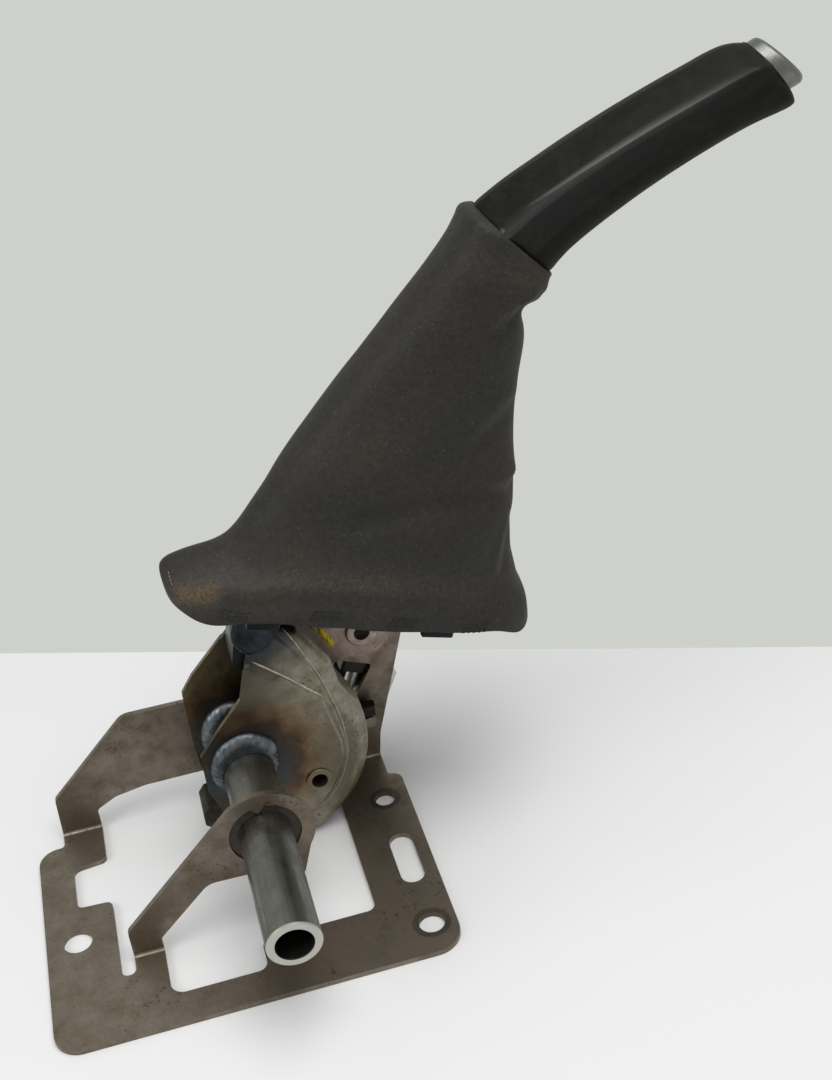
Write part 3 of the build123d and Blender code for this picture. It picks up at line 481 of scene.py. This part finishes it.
def tube_bead(name, node_name, face_y, legs):
    """Rippled bead from a shell's face out along the tube, as a closed ring."""
    stops = [(leg,) for leg in legs]
    turns = [2 * pi * part / bead_segments for part in range(bead_segments)]
    inner_r = tube_r - bead_overlap
    rings = []
    for number in range(bead_steps + 1):
        angle = pi / 2 * number / bead_steps
        ring = []
        for turn in turns:
            # Each ripple is a crescent, so it lags behind at the bead's edges
            ripple = abs(sin(bead_ripples / 2 * turn + ripple_lag * cos(2 * angle))) - 0.6
            lump = noise.noise(Vector((lump_spread * cos(turn), lump_spread * sin(turn), face_y)))
            swell = ripple_height * ripple * sin(2 * angle) + lump_height * lump * sin(angle + 0.5)
            leg = on_run(stops, turn / (2 * pi) * (len(stops) - 1))[0] + swell
            depth = bead_out * min(leg / whole_leg, 1.1)
            radius = inner_r + (leg + bead_overlap) * cos(angle)
            ring.append((radius * cos(turn), face_y - depth * sin(angle), radius * sin(turn)))
        rings.append(ring)
    for y in (face_y - bead_out / 2, face_y + bead_overlap):
        rings.append([(inner_r * cos(turn), y, inner_r * sin(turn)) for turn in turns])
    bead = mesh_object(name, sleeve(rings, closed=True), weld_steel)
    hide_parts(node_name)
    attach(bead, "lever")


weld_steel = bare_steel(
    "weld_bead_oxide", "#797F83", "#383D41", "#262728", 0.36, grain_mm=3.4, pitted=0.3)[0]
tube_bead("rippled_bead_near", "tube_weld_near", -13.6, near_legs)
tube_bead("rippled_bead_far", "tube_weld_far", 11.4, far_legs)
seam_oxide = bare_steel(
    "seam_weld_oxide", "#3B3F43", "#191B1D", "#141517", 0.3, grain_mm=6.0, pitted=0.0)[0]
dress("shell_weld", seam_oxide)


# Cable anchor: an iron block on its cross pin, between the shells.
# It is phosphated, so it is dark, brownish and nearly matt.
anchor_iron = bare_steel(
    "phosphated_iron", "#4A443D", "#2F2A25", "#171513", 0.5, metallic=0.8, grain_mm=5.0)[0]
dress("cable_anchor", anchor_iron)


# Ratchet: stamped and hardened sector and pawl, of a steel browned by its heat treatment.
# Pins, springs and rods are zinc plated, and the stop lug is coloured near black as painted shade, for the
# shadowed notch above the stop pin.
sector_steel = bare_steel("hardened_stamping", "#A0918A", "#776860", "#4A3A32", 0.38, grain_mm=6.0)[0]
dress("tooth_sector", sector_steel)
dress("pawl", sector_steel)
plated_steel = bare_steel("zinc_plated_steel", "#B5B0A6", "#8B857B", "#4A4038", 0.32, grain_mm=4.0)[0]
for name in ("sector_rivet_high", "stop_pin", "pawl_pin", "anchor_pin", "switch_screw"):
    dress(name, plated_steel)
for name in ("pawl_spring", "push_rod", "button_rod", "button_spring"):
    dress(name, plated_steel)
# Near-black painted shade on the stop lug
painted_shade_lug = bare_steel("blackened_lug", "#4B4138", "#2E2822", "#191613", 0.45, grain_mm=4.0)[0]
dress("stop_lug", painted_shade_lug)
# The lower rivet is as brown as the sector, and its cup is coloured near black as painted shade in the
# hollow
cup_at = (61.5, 0.0, 33.0)
cup_r = 3.6
painted_shade_eyelet, tree, place, shader = bare_steel(
    "greased_eyelet", "#A5988D", "#7C6E66", "#4A3A32", 0.36, grain_mm=4.0)
# The cup's near-black colour is painted shade in the hollow
colour_round_line(tree, place, shader, cup_at, seen_from_side, cup_r - 0.4, cup_r + 0.1, "#12100E", 0.95)
dress("sector_rivet_low", painted_shade_eyelet)


# Paint mark: a dab of yellow inspection paint brushed on the sector's front.
# It is a thin streaky film with a ragged edge.
mark_outline = [
    (43.2, 42.4), (46.1, 39.6), (45.9, 37.4), (48.0, 34.6), (49.3, 29.6),
    (48.0, 27.4), (46.4, 30.2), (44.6, 33.4), (42.4, 37.9),
]
mark_front = 17.9
mark_depth = 0.25
bristle_sizes = (0.5, 3, 6)

inspection_paint, tree, place, shader = moulded("yellow_inspection_paint", "#E3C51B", "#A98E1C", 0.45, 0.5)
brush = node(tree, "ShaderNodeMapping", {
    "Vector": place, "Scale": [1 / (size * mm) for size in bristle_sizes],
})
bristles = node(tree, "ShaderNodeTexNoise", {"Vector": brush.outputs[0], "Scale": 1.0, "Detail": 2.0})
thin = node(tree, "ShaderNodeMapRange", {
    "Value": bristles.outputs[0], "From Min": 0.5, "From Max": 0.62, "To Max": 0.85,
})
lay_over(tree, shader, thin.outputs[0], linear("#7A6A2A"))
shape = bmesh.new()
back = bmesh.ops.create_circle(shape, cap_ends=True, segments=len(mark_outline), radius=1)["verts"]
for vertex, (x, z) in zip(back, mark_outline):
    vertex.co = Vector((x, mark_front + mark_depth, z)) * mm
grown = bmesh.ops.extrude_face_region(shape, geom=list(shape.faces))["geom"]
front = [part for part in grown if isinstance(part, bmesh.types.BMVert)]
bmesh.ops.translate(shape, verts=front, vec=(0, -mark_depth * mm, 0))
bmesh.ops.recalc_face_normals(shape, faces=shape.faces)
paint_mark = mesh_object("paint_mark", shape, inspection_paint)
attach(paint_mark, "bracket")


# Switch: a moulded housing of black nylon behind the upright's window.
# Its plunger and terminal are nickel plated, so they are the brightest metal on the part.
black_nylon = moulded("black_nylon", "#171615", "#2B2A28", 0.38, 0.7)[0]
dress("switch_housing", black_nylon)
nickel = bare_steel("nickel_plate", "#E2E1DC", "#C4C2BB", "#8C877E", 0.42, grain_mm=4.0, pitted=0.3)[0]
dress("switch_plunger", nickel)
dress("switch_terminal", nickel)


# Grip: a moulded skin of near-black soft plastic round the stem's end.
# Hands have polished the ridge along each side and left the rest matt.
grip_runs = [
    # centre x and z, angle of the axis, rise above and drop below it, half width; in mm and degrees
    (138.8, 209.0, 41.2, 19.9, 19.4, 17.2),
    (147.2, 215.8, 35.5, 17.7, 18.8, 17.3),
    (158.0, 222.6, 29.5, 15.6, 18.7, 17.3),
    (172.0, 229.4, 25.0, 15.1, 17.9, 17.2),
    (188.0, 236.0, 22.5, 15.2, 16.7, 17.0),
    (204.0, 242.0, 22.5, 15.2, 15.8, 17.0),
    (217.0, 246.6, 25.5, 15.2, 15.5, 16.8),
    (226.0, 249.4, 29.0, 15.8, 15.5, 16.7),
    (233.0, 251.6, 33.0, 15.8, 16.5, 16.3),
    (237.2, 253.0, 36.0, 14.9, 17.4, 15.4),
    (239.6, 253.9, 37.3, 13.7, 17.4, 14.3),
    (240.6, 254.3, 37.3, 12.9, 16.3, 13.2),
]
# Half of a section from its crown to its keel, as shares of the width and of the rise or drop
grip_profile = [
    (0, 1), (0.25, 0.95), (0.5, 0.85), (0.72, 0.74), (0.88, 0.65), (0.965, 0.57), (1.0, 0.48), (0.975, 0.37),
    (0.93, 0.2), (0.89, 0.0), (0.86, -0.3), (0.78, -0.62), (0.58, -0.86), (0.3, -0.97), (0, -1),
]
grip_steps = 4
ridge_height = 0.53
ridge_width = 0.09
facet_polish = 0.1
facet_heights = (-0.25, 0.45)
polish_rings = 28
least_polish = 0.15
foot_tuck = 2.5
foot_share = 0.95
mouth_slant = 37.3
mouth_swell = 0.5
bore_at = Vector((144.94, 0, 216.38))
bore_angle = 21.6
bore_r = 11.7
bore_depths = (0.0, 0.6, 8.0)


def bell(away, width):
    """1 at the middle, falling to 0 a few widths away."""
    return exp(-((away / width) ** 2))


def along_lever(angle):
    """Direction in the lever's middle plane, at an angle in degrees above the plate."""
    return Vector((cos(radians(angle)), 0, sin(radians(angle))))


def grip_ring(values, profile):
    """Points round one section of the grip."""
    x, z, angle, rise, drop, half = values
    up = along_lever(angle + 90)
    return [
        Vector((x, share * half, z)) + up * (height * (rise if height > 0 else drop))
        for share, height in profile
    ]


half_profile = whole_run(grip_profile, grip_steps)
whole_profile = [(-share, height) for share, height in half_profile]
whole_profile += [(share, height) for share, height in reversed(half_profile[1:-1])]
rings = [grip_ring(values, whole_profile) for values in whole_run(grip_runs, grip_steps)]
# At the end the skin turns in to the round bore that the button slides in
mouth = rings[-1]
mouth_normal = along_lever(mouth_slant)
bore_axis = along_lever(bore_angle)
bore_rings = []
for depth in bore_depths:
    ring = []
    for point in mouth:
        out = point - bore_at
        out -= bore_axis * out.dot(bore_axis)
        radius = bore_r if depth else bore_r + mouth_swell
        on_bore = bore_at + out.normalized() * radius
        reach = (mouth[0] - on_bore).dot(mouth_normal) / bore_axis.dot(mouth_normal)
        ring.append(on_bore + bore_axis * (reach + mouth_swell - depth))
    bore_rings.append(ring)
rings.append([
    point.lerp(inner, 0.5) + bore_axis * mouth_swell for point, inner in zip(mouth, bore_rings[0])
])
rings += bore_rings
# At the foot it is tucked into the boot's top band
foot_x, foot_z, foot_angle = grip_runs[0][:3]
foot_at = Vector((foot_x, 0, foot_z))
rings.insert(0, [
    foot_at + (point - foot_at) * foot_share - along_lever(foot_angle) * foot_tuck for point in rings[0]
])
shape = sleeve(rings)
# The polish is strongest at the foot, and the facet below the ridge has a little of it
polished = []
for ring_number in range(len(rings)):
    fade = min(max(1.3 - ring_number / polish_rings, least_polish), 1)
    for share, height in whole_profile:
        facet = facet_polish if facet_heights[0] < height < facet_heights[1] else 0
        polished.append(fade * max(bell(height - ridge_height, ridge_width), facet))

grip_skin, tree, place, shader = moulded("moulded_grip_skin", "#0E0E0C", "#201E1A", 0.52, 0.6, gloss=0.12)
polish = node(tree, "ShaderNodeAttribute", attribute_name="polish").outputs["Fac"]
tree.links.new(polish, shader.inputs["Coat Weight"])
shader.inputs["Coat Roughness"].default_value = 0.14
shader.inputs["Coat IOR"].default_value = 1.6
grip = mesh_object("ridged_grip", shape, grip_skin)
marks = grip.data.attributes.new("polish", "FLOAT", "POINT")
marks.data.foreach_set("value", polished)
smooth = grip.modifiers.new("smooth", "SUBSURF")
smooth.levels = 1
smooth.render_levels = 1
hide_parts("grip")
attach(grip, "lever")


# Push button: moulded plastic with a satin silver plating.
# The plating is even and greyish, with a soft highlight along its rim.
satin_silver = bare_steel(
    "satin_silver_plating", "#7D7E7A", "#6E6F6B", "#565753", 0.36, grain_mm=8.0, pitted=0.2)[0]
dress("button", satin_silver)


# Boot: a sleeve of charcoal leatherette over the stem, cut in one piece and sewn behind.
# It is taut under the grip, slack above the hem, and turned under round the hem frame.
boot_rings = [
    # left point, right point, half depth left and right, squareness left and right,
    # narrowing of the back's left end, droop of the front's left end; in mm
    (-17.0, 94.0, 130.5, 46.5, 29.5, 37.0, 2.6, 3.0, 0.4, 8.0),
    (-17.2, 101.5, 130.5, 54.0, 28.0, 36.5, 2.4, 2.8, 0.45, 7.0),
    (-11.5, 104.2, 128.0, 62.0, 26.0, 35.0, 2.2, 2.6, 0.5, 3.5),
    (-2.5, 105.2, 127.0, 70.0, 24.5, 34.0, 2.0, 2.5, 0.4, 1.0),
    (7.5, 107.7, 126.5, 79.0, 24.0, 33.0, 2.0, 2.5, 0.25, 0.0),
    (17.3, 113.4, 127.5, 91.4, 23.0, 32.0, 2.0, 2.5, 0.0, 0.0),
    (27.5, 123.7, 129.7, 102.0, 22.0, 30.0, 2.1, 2.5, 0.0, 0.0),
    (37.5, 136.0, 131.0, 114.6, 22.0, 28.0, 2.2, 2.5, 0.0, 0.0),
    (55.2, 154.0, 132.0, 130.0, 21.0, 25.0, 2.3, 2.5, 0.0, 0.0),
    (73.4, 172.5, 134.5, 148.6, 20.0, 22.0, 2.3, 2.5, 0.0, 0.0),
    (91.6, 190.3, 139.0, 167.9, 19.0, 20.0, 2.4, 2.5, 0.0, 0.0),
    (107.0, 205.5, 140.0, 180.5, 18.5, 19.0, 2.4, 2.5, 0.0, 0.0),
    (115.3, 214.5, 145.5, 185.5, 18.5, 18.6, 2.5, 2.6, 0.0, 0.0),
    (120.3, 222.4, 150.8, 192.6, 18.6, 18.4, 2.6, 2.6, 0.0, 0.0),
    (125.6, 222.9, 151.4, 193.6, 18.3, 18.0, 2.6, 2.6, 0.0, 0.0),
]
hem_ring = boot_rings[0]
top_ring = boot_rings[-1]
boot_segments = 112
sheet_mm = 1.1
hem_fold = 6.0
hem_inset = 2.6
band_depth = 8.0
band_groove = 0.6
band_calm = 6.0
right_droop = 0.65
sag_height = 0.45
sag_size = 26
dimple_height = 0.16
dimple_size = 9
wave_height = 0.8
wave_length = 13
wave_depth = 30
wave_reach = 9.0


def ring_frame(values):
    """Left end of a boot section, the way along it and the way up from it."""
    left_x, left_z, right_x, right_z = values[:4]
    run = Vector((right_x - left_x, 0, right_z - left_z)).normalized()
    return Vector((left_x, 0, left_z)), run, Vector((-run.z, 0, run.x))


def boot_ring(values, inset=0.0, lift=0.0, count=boot_segments):
    """Evenly spaced points round one section of the boot, in mm."""
    left_x, left_z, right_x, right_z, depth_left, depth_right = values[:6]
    square_left, square_right, narrowing, droop = values[6:]
    run, rise = ring_frame(values)[1:]
    half = Vector((right_x - left_x, 0, right_z - left_z)).length / 2
    middle = Vector((left_x + right_x, 0, left_z + right_z)) / 2 + rise * lift
    fine = []
    for number in range(4 * count + 1):
        angle = 2 * pi * number / (4 * count)
        power = 2 / (square_right if cos(angle) >= 0 else square_left)
        along = abs(cos(angle)) ** power * (1 if cos(angle) >= 0 else -1)
        out = abs(sin(angle)) ** power * (1 if sin(angle) >= 0 else -1)
        depth = (depth_left + depth_right + (depth_right - depth_left) * along) / 2 - inset
        if out > 0:
            depth *= 1 - narrowing * min(max((-0.3 - along) / 0.7, 0), 1)
        point = middle + run * along * (half - inset) + Vector((0, out * depth, 0))
        # The front's two corners hang lower than the rest
        front = min(max(-1.6 * out, 0), 1)
        point.z -= droop * front * (bell(along + 0.88, 0.24) + right_droop * bell(along - 0.92, 0.14))
        fine.append(point)
    reach = [0.0]
    for start, end in zip(fine, fine[1:]):
        reach.append(reach[-1] + (end - start).length)
    points = []
    place = 0
    for number in range(count):
        wanted = reach[-1] * number / count
        while reach[place + 1] < wanted:
            place += 1
        share = (wanted - reach[place]) / max(reach[place + 1] - reach[place], 1e-9)
        points.append(fine[place].lerp(fine[place + 1], share))
    return points


# Folds and dents: height and width in mm, then the points that each runs through
boot_folds = [
    (1.3, 6.5, [(-12, -12, 94), (-2, -16, 96), (15, -22, 96), (50, -28, 90), (79, -30, 82), (104, -28, 74)]),
    (-1.5, 4.0, [(6, -24, 90.5), (25, -28, 88.5), (48, -31, 83.5), (66, -32, 78.5), (90, -32, 71)]),
    (-2.2, 8.0, [(10, 1, 109), (14, -11, 105.5), (17, -18, 101)]),
    (1.3, 2.4, [(139, -14, 191.5), (130, -18, 187.5), (123, -19, 183.5)]),
    (-1.2, 3.0, [(138, -15, 186.5), (130, -18, 182), (121, -19.5, 178)]),
    (1.2, 2.4, [(131, -10, 151), (122.5, -19, 149), (114, -21.5, 143), (106, -23, 140)]),
    (-1.0, 3.2, [(130, -14, 145), (121, -20, 142), (112, -22, 137)]),
    (1.7, 3.0, [(128, -12, 115), (115, -22, 118), (97, -25, 121)]),
    (-2.4, 5.0, [(128, -13, 108), (108, -25, 114.5), (87, -26, 116), (61, -24, 113)]),
    (1.2, 2.6, [(121.5, -18, 95), (118, -21, 86), (114.5, -23, 78)]),
    (-1.2, 3.6, [(125, -14, 92), (122.5, -19, 84), (120, -21, 77)]),
    (1.6, 5.0, [(146, -10, 190), (143, -16, 195), (140, -17, 191)]),
    (-1.4, 4.0, [(141, 0, 180), (138, -15, 182)]),
    (-0.9, 10.0, [(60, -20, 150), (85, -22, 160), (110, -20, 170)]),
    (0.7, 9.0, [(50, -26, 128), (85, -24, 138), (112, -22, 152)]),
]
# Rubbed places: strength and width in mm, then the points that each runs through
rubbed_places = [
    (0.8, 7.5, [(-10, -14, 94), (-1, -17, 94)]),
    (0.32, 8.0, [(12, -21, 96), (50, -28, 90), (79, -30, 82), (100, -28, 75)]),
    (0.22, 11.0, [(38, -22, 101), (65, -29, 88)]),
    (0.10, 18.0, [(54, -14, 144), (86, -17, 168)]),
    (0.30, 7.0, [(122, -18, 208), (134, -18, 202), (142, -17, 197)]),
    (0.45, 1.0, [(139, -14, 191.5), (130, -18, 187.5), (123, -19, 183.5)]),
    (0.45, 1.0, [(131, -10, 151), (122.5, -19, 149), (114, -21.5, 143)]),
    (0.35, 1.2, [(121.5, -18, 95), (118, -21, 86), (114.5, -23, 78)]),
]


def nearness(point, width, run):
    """1 on a run of points, falling to 0 a few widths away."""
    nearest = 1e9
    for start, end in zip(run, run[1:]):
        start, end = Vector(start), Vector(end)
        line = end - start
        share = min(max((point - start).dot(line) / line.length_squared, 0), 1)
        nearest = min(nearest, (point - start - line * share).length)
    return bell(nearest, width)


# The rings stand closer together at the hem and at the top band
top = len(boot_rings) - 1
ring_places = [0.0, 0.12, 0.3, 0.5, 0.7, 0.88]
ring_places += [1 + step / 5 for step in range(5 * (top - 2))]
band_places = (0, 0.15, 0.3, 0.45, 0.58, 0.68, 0.76, 0.82, 0.87, 0.92, 0.96, 1)
ring_places += [top - 1 + share for share in band_places]
hem_lifts = (hem_fold, hem_fold / 2, 0.6)
rings = [boot_ring(hem_ring, hem_inset, lift) for lift in hem_lifts]
rings += [boot_ring(hem_ring, 1.4, -0.5)]
rings += [boot_ring(on_run(boot_rings, place)) for place in ring_places]
rings += [boot_ring(top_ring, 1.0, 0.2), boot_ring(top_ring, 1.6, -1.2)]
shape = sleeve(rings)
shape.normal_update()
top_foot, _, top_up = ring_frame(top_ring)
hem_foot, hem_run, hem_up = ring_frame(hem_ring)
turned_under = len(hem_lifts) * boot_segments
worn = []
for number, vertex in enumerate(shape.verts):
    point = vertex.co / mm
    push = sum(height * nearness(point, width, run) for height, width, run in boot_folds)
    push += sag_height * noise.noise(point / sag_size) + dimple_height * noise.noise(point / dimple_size)
    below = (top_foot - point).dot(top_up)
    push *= min(max(below / band_calm, 0), 1)
    # Stitched groove below the band that the grip ends on
    push -= band_groove * bell(below - band_depth, 0.9)
    # The part turned under faces inwards, so it follows the outside with the opposite sign
    vertex.co += vertex.normal * push * (-1 if number < turned_under else 1) * mm
    # The hem's edge hangs in shallow waves
    height = (point - hem_foot).dot(hem_up)
    hang = max(0, 1 - max(height, 0) / wave_reach)
    wave = noise.noise(Vector((point.x / wave_length, 0.5 + point.y / wave_depth, 3.1)))
    vertex.co.z += wave_height * hang * wave * mm
    worn.append(min(sum(share * nearness(point, width, run) for share, width, run in rubbed_places), 1))

# Charcoal leatherette, with a brown cast in places, rubbed tan where it bulges.
# The pressed grain is drawn a little coarser than the real one, so that it shows.
haze_mm = 34
speckle_mm = 1.1
dust_mm = 0.9
mottle_mm = 2.4
pressed_grain_mm = 1.15
wrinkle_mm = 3.2

leatherette, tree, output = material("charcoal_leatherette")
place = node(tree, "ShaderNodeTexCoord").outputs["Object"]
wear = node(tree, "ShaderNodeAttribute", attribute_name="wear").outputs["Fac"]
haze = node(tree, "ShaderNodeTexNoise", {"Vector": place, "Scale": 1 / (haze_mm * mm), "Detail": 4.0})
brown = node(tree, "ShaderNodeMapRange", {
    "Value": haze.outputs[0], "From Min": 0.42, "From Max": 0.72, "To Max": 0.8,
})
base = node(tree, "ShaderNodeMix", {
    0: brown.outputs[0], 6: linear("#262523"), 7: linear("#322B25"),
}, data_type="RGBA")
speckle = node(tree, "ShaderNodeTexNoise", {
    "Vector": place, "Scale": 1 / (speckle_mm * mm), "Detail": 3.0, "Roughness": 0.7,
})
rubbed = node(tree, "ShaderNodeMapRange", {"Value": speckle.outputs[0], "From Min": 0.25, "From Max": 0.75})
scuffed = node(tree, "ShaderNodeMath", {0: wear, 1: rubbed.outputs[0]}, operation="MULTIPLY")
deep = node(tree, "ShaderNodeMapRange", {"Value": wear, "From Min": 0.4, "From Max": 0.9})
tan = node(tree, "ShaderNodeMix", {
    0: deep.outputs[0], 6: linear("#524A3E"), 7: linear("#7C6845"),
}, data_type="RGBA")
colour = node(tree, "ShaderNodeMix", {
    0: scuffed.outputs[0], 6: base.outputs[2], 7: tan.outputs[2],
}, data_type="RGBA")
dust = node(tree, "ShaderNodeTexNoise", {
    "Vector": place, "Scale": 1 / (dust_mm * mm), "Detail": 2.0, "Roughness": 0.6,
})
faint = node(tree, "ShaderNodeMapRange", {
    "Value": dust.outputs[0], "From Min": 0.64, "From Max": 0.8, "To Max": 0.3,
})
dusty = node(tree, "ShaderNodeMix", {
    0: faint.outputs[0], 6: colour.outputs[2], 7: linear("#8A857B"),
}, data_type="RGBA")
mottle = node(tree, "ShaderNodeTexNoise", {
    "Vector": place, "Scale": 1 / (mottle_mm * mm), "Detail": 4.0, "Roughness": 0.7,
})
shade = node(tree, "ShaderNodeMapRange", {
    "Value": mottle.outputs[0], "From Min": 0.3, "From Max": 0.7, "To Min": 0.72, "To Max": 1.25,
})
mottled = node(tree, "ShaderNodeMix", {
    0: 1.0, 6: dusty.outputs[2], 7: shade.outputs[0],
}, data_type="RGBA", blend_type="MULTIPLY")
grain = node(tree, "ShaderNodeTexVoronoi", {
    "Vector": place, "Scale": 1 / (pressed_grain_mm * mm),
}, feature="SMOOTH_F1")
wrinkle = node(tree, "ShaderNodeTexNoise", {"Vector": place, "Scale": 1 / (wrinkle_mm * mm), "Detail": 4.0})
relief = node(tree, "ShaderNodeMath", {
    0: wrinkle.outputs[0], 1: grain.outputs["Distance"],
}, operation="SUBTRACT")
bump = node(tree, "ShaderNodeBump", {"Height": relief.outputs[0], "Strength": 0.45, "Distance": 0.3 * mm})
matt = node(tree, "ShaderNodeMapRange", {
    "Value": haze.outputs[0], "From Min": 0.3, "From Max": 0.7, "To Min": 0.5, "To Max": 0.66,
})
shader = node(tree, "ShaderNodeBsdfPrincipled", {
    "Base Color": mottled.outputs[2], "Roughness": matt.outputs[0],
    "Specular IOR Level": 0.24, "Normal": bump.outputs[0],
})
tree.links.new(shader.outputs[0], output.inputs[0])

boot = mesh_object("leatherette_boot", shape, leatherette)
marks = boot.data.attributes.new("wear", "FLOAT", "POINT")
marks.data.foreach_set("value", worn)
wall = boot.modifiers.new("sheet", "SOLIDIFY")
wall.thickness = sheet_mm * mm
wall.offset = -1
smooth = boot.modifiers.new("smooth", "SUBSURF")
smooth.levels = 1
smooth.render_levels = 1
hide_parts("boot")
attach(boot, "lever")


# Boot collar: a ring of black moulded nylon on the stem, inside the boot's top band.
# The leatherette is drawn over it and turned in at its upper edge.
frame_segments = 64
collar_sides = [(1.9, -7.0), (1.9, -1.2), (5.5, -1.2), (5.5, -7.0)]
collar_rings = [boot_ring(top_ring, inset, lift, frame_segments) for inset, lift in collar_sides]
collar = mesh_object("band_collar", sleeve(collar_rings, closed=True), black_nylon)
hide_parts("boot_collar")
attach(collar, "lever")


# Hem frame: a black moulded polypropylene ring inside the boot's hem.
# The hem is turned under round it, and its clips stand out below to snap into the console.
frame_sides = [(3.4, 0.5), (3.4, 5.5), (6.2, 5.5), (6.2, 0.5)]
clip_length = 13.5
clip_height = 6.0
clip_thick = 3.2
clip_edge = 0.7
clip_places = [(17.6, -24.2, 79.6), (86.0, -30.6, 60.2)]

frame_rings = [boot_ring(hem_ring, inset, lift, frame_segments) for inset, lift in frame_sides]
shape = sleeve(frame_rings, closed=True)
turned = Matrix((hem_run, Vector((0, 1, 0)), hem_up)).transposed().to_4x4()
size = Matrix.Diagonal((clip_length * mm, clip_thick * mm, clip_height * mm, 1))
for middle in clip_places:
    at = Matrix.Translation(Vector(middle) * mm)
    block = bmesh.ops.create_cube(shape, size=1, matrix=at @ turned @ size)["verts"]
    edges = list({edge for vertex in block for edge in vertex.link_edges})
    bmesh.ops.bevel(
        shape, geom=edges, offset=clip_edge * mm, offset_type="OFFSET",
        affect="EDGES", segments=3, profile=0.5, material=-1)
frame_plastic = moulded("black_polypropylene", "#070707", "#0E0D0D", 0.32, 0.9, gloss=0.16)[0]
hem_frame = mesh_object("hem_frame", shape, frame_plastic)
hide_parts("boot_frame")
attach(hem_frame, "lever")


# Hem stitches: short runs of thick dark thread in three rows, where the hem is tacked down.
# A pale thread closes the seam at the boot's left end.
thread_r = 0.3
thread_rise = 0.12
stitch_length = 2.0
stitch_step = 2.5
stitches_in_row = 5
row_gap = 2.0
stitch_slip = 0.35
stitch_groups = [(5.0, -24.1, 87.0), (40.9, -31.2, 81.5), (71.1, -33.3, 70.5), (101.0, -32.4, 58.1)]
seam_points = [
    (-14.3, -3.4, 101.8), (-14.3, -5.0, 101.0), (-14.3, -6.5, 100.1),
    (-14.2, -7.8, 99.1), (-14.2, -9.1, 98.1),
]
boot_skin = BVHTree.FromObject(boot, bpy.context.evaluated_depsgraph_get())


def stitch(shape, start, end):
    """One stitch: a spindle of thread that lies on the boot between two points."""
    ends = []
    for point in (start, end):
        outside = Vector(point) + Vector((0, -3, 0))
        spot, facing = boot_skin.find_nearest(outside * mm)[:2]
        ends.append(spot + facing * thread_rise * mm)
    middle = (ends[0] + ends[1]) / 2
    run = ends[1] - ends[0]
    turned = run.to_track_quat("Z", "Y").to_matrix().to_4x4()
    size = Matrix.Diagonal((thread_r * mm, thread_r * mm, run.length / 2, 1))
    laid = Matrix.Translation(middle) @ turned @ size
    bmesh.ops.create_uvsphere(shape, u_segments=8, v_segments=6, radius=1, matrix=laid)


shape = bmesh.new()
for number, group in enumerate(stitch_groups):
    for row in (-1, 0, 1):
        for place in range(stitches_in_row):
            slip = stitch_slip * noise.noise(Vector((number * 7.3, row * 3.1, place * 1.9)))
            across = (place - stitches_in_row // 2) * stitch_step + 0.6 * row + slip
            start = Vector(group) + hem_run * across + hem_up * (row * row_gap + slip)
            stitch(shape, start, start + hem_run * stitch_length + hem_up * 0.5)
dark_thread = moulded("dark_polyester_thread", "#0D0D0C", "#1A1918", 0.6, 0.4)[0]
stitches = mesh_object("hem_stitches", shape, dark_thread)
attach(stitches, "lever")

shape = bmesh.new()
for start, end in zip(seam_points, seam_points[1:]):
    stitch(shape, start, Vector(start).lerp(Vector(end), 0.8))
pale_thread = moulded("pale_seam_thread", "#726D62", "#57524A", 0.6, 0.4)[0]
seam = mesh_object("end_seam", shape, pale_thread)
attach(seam, "lever")
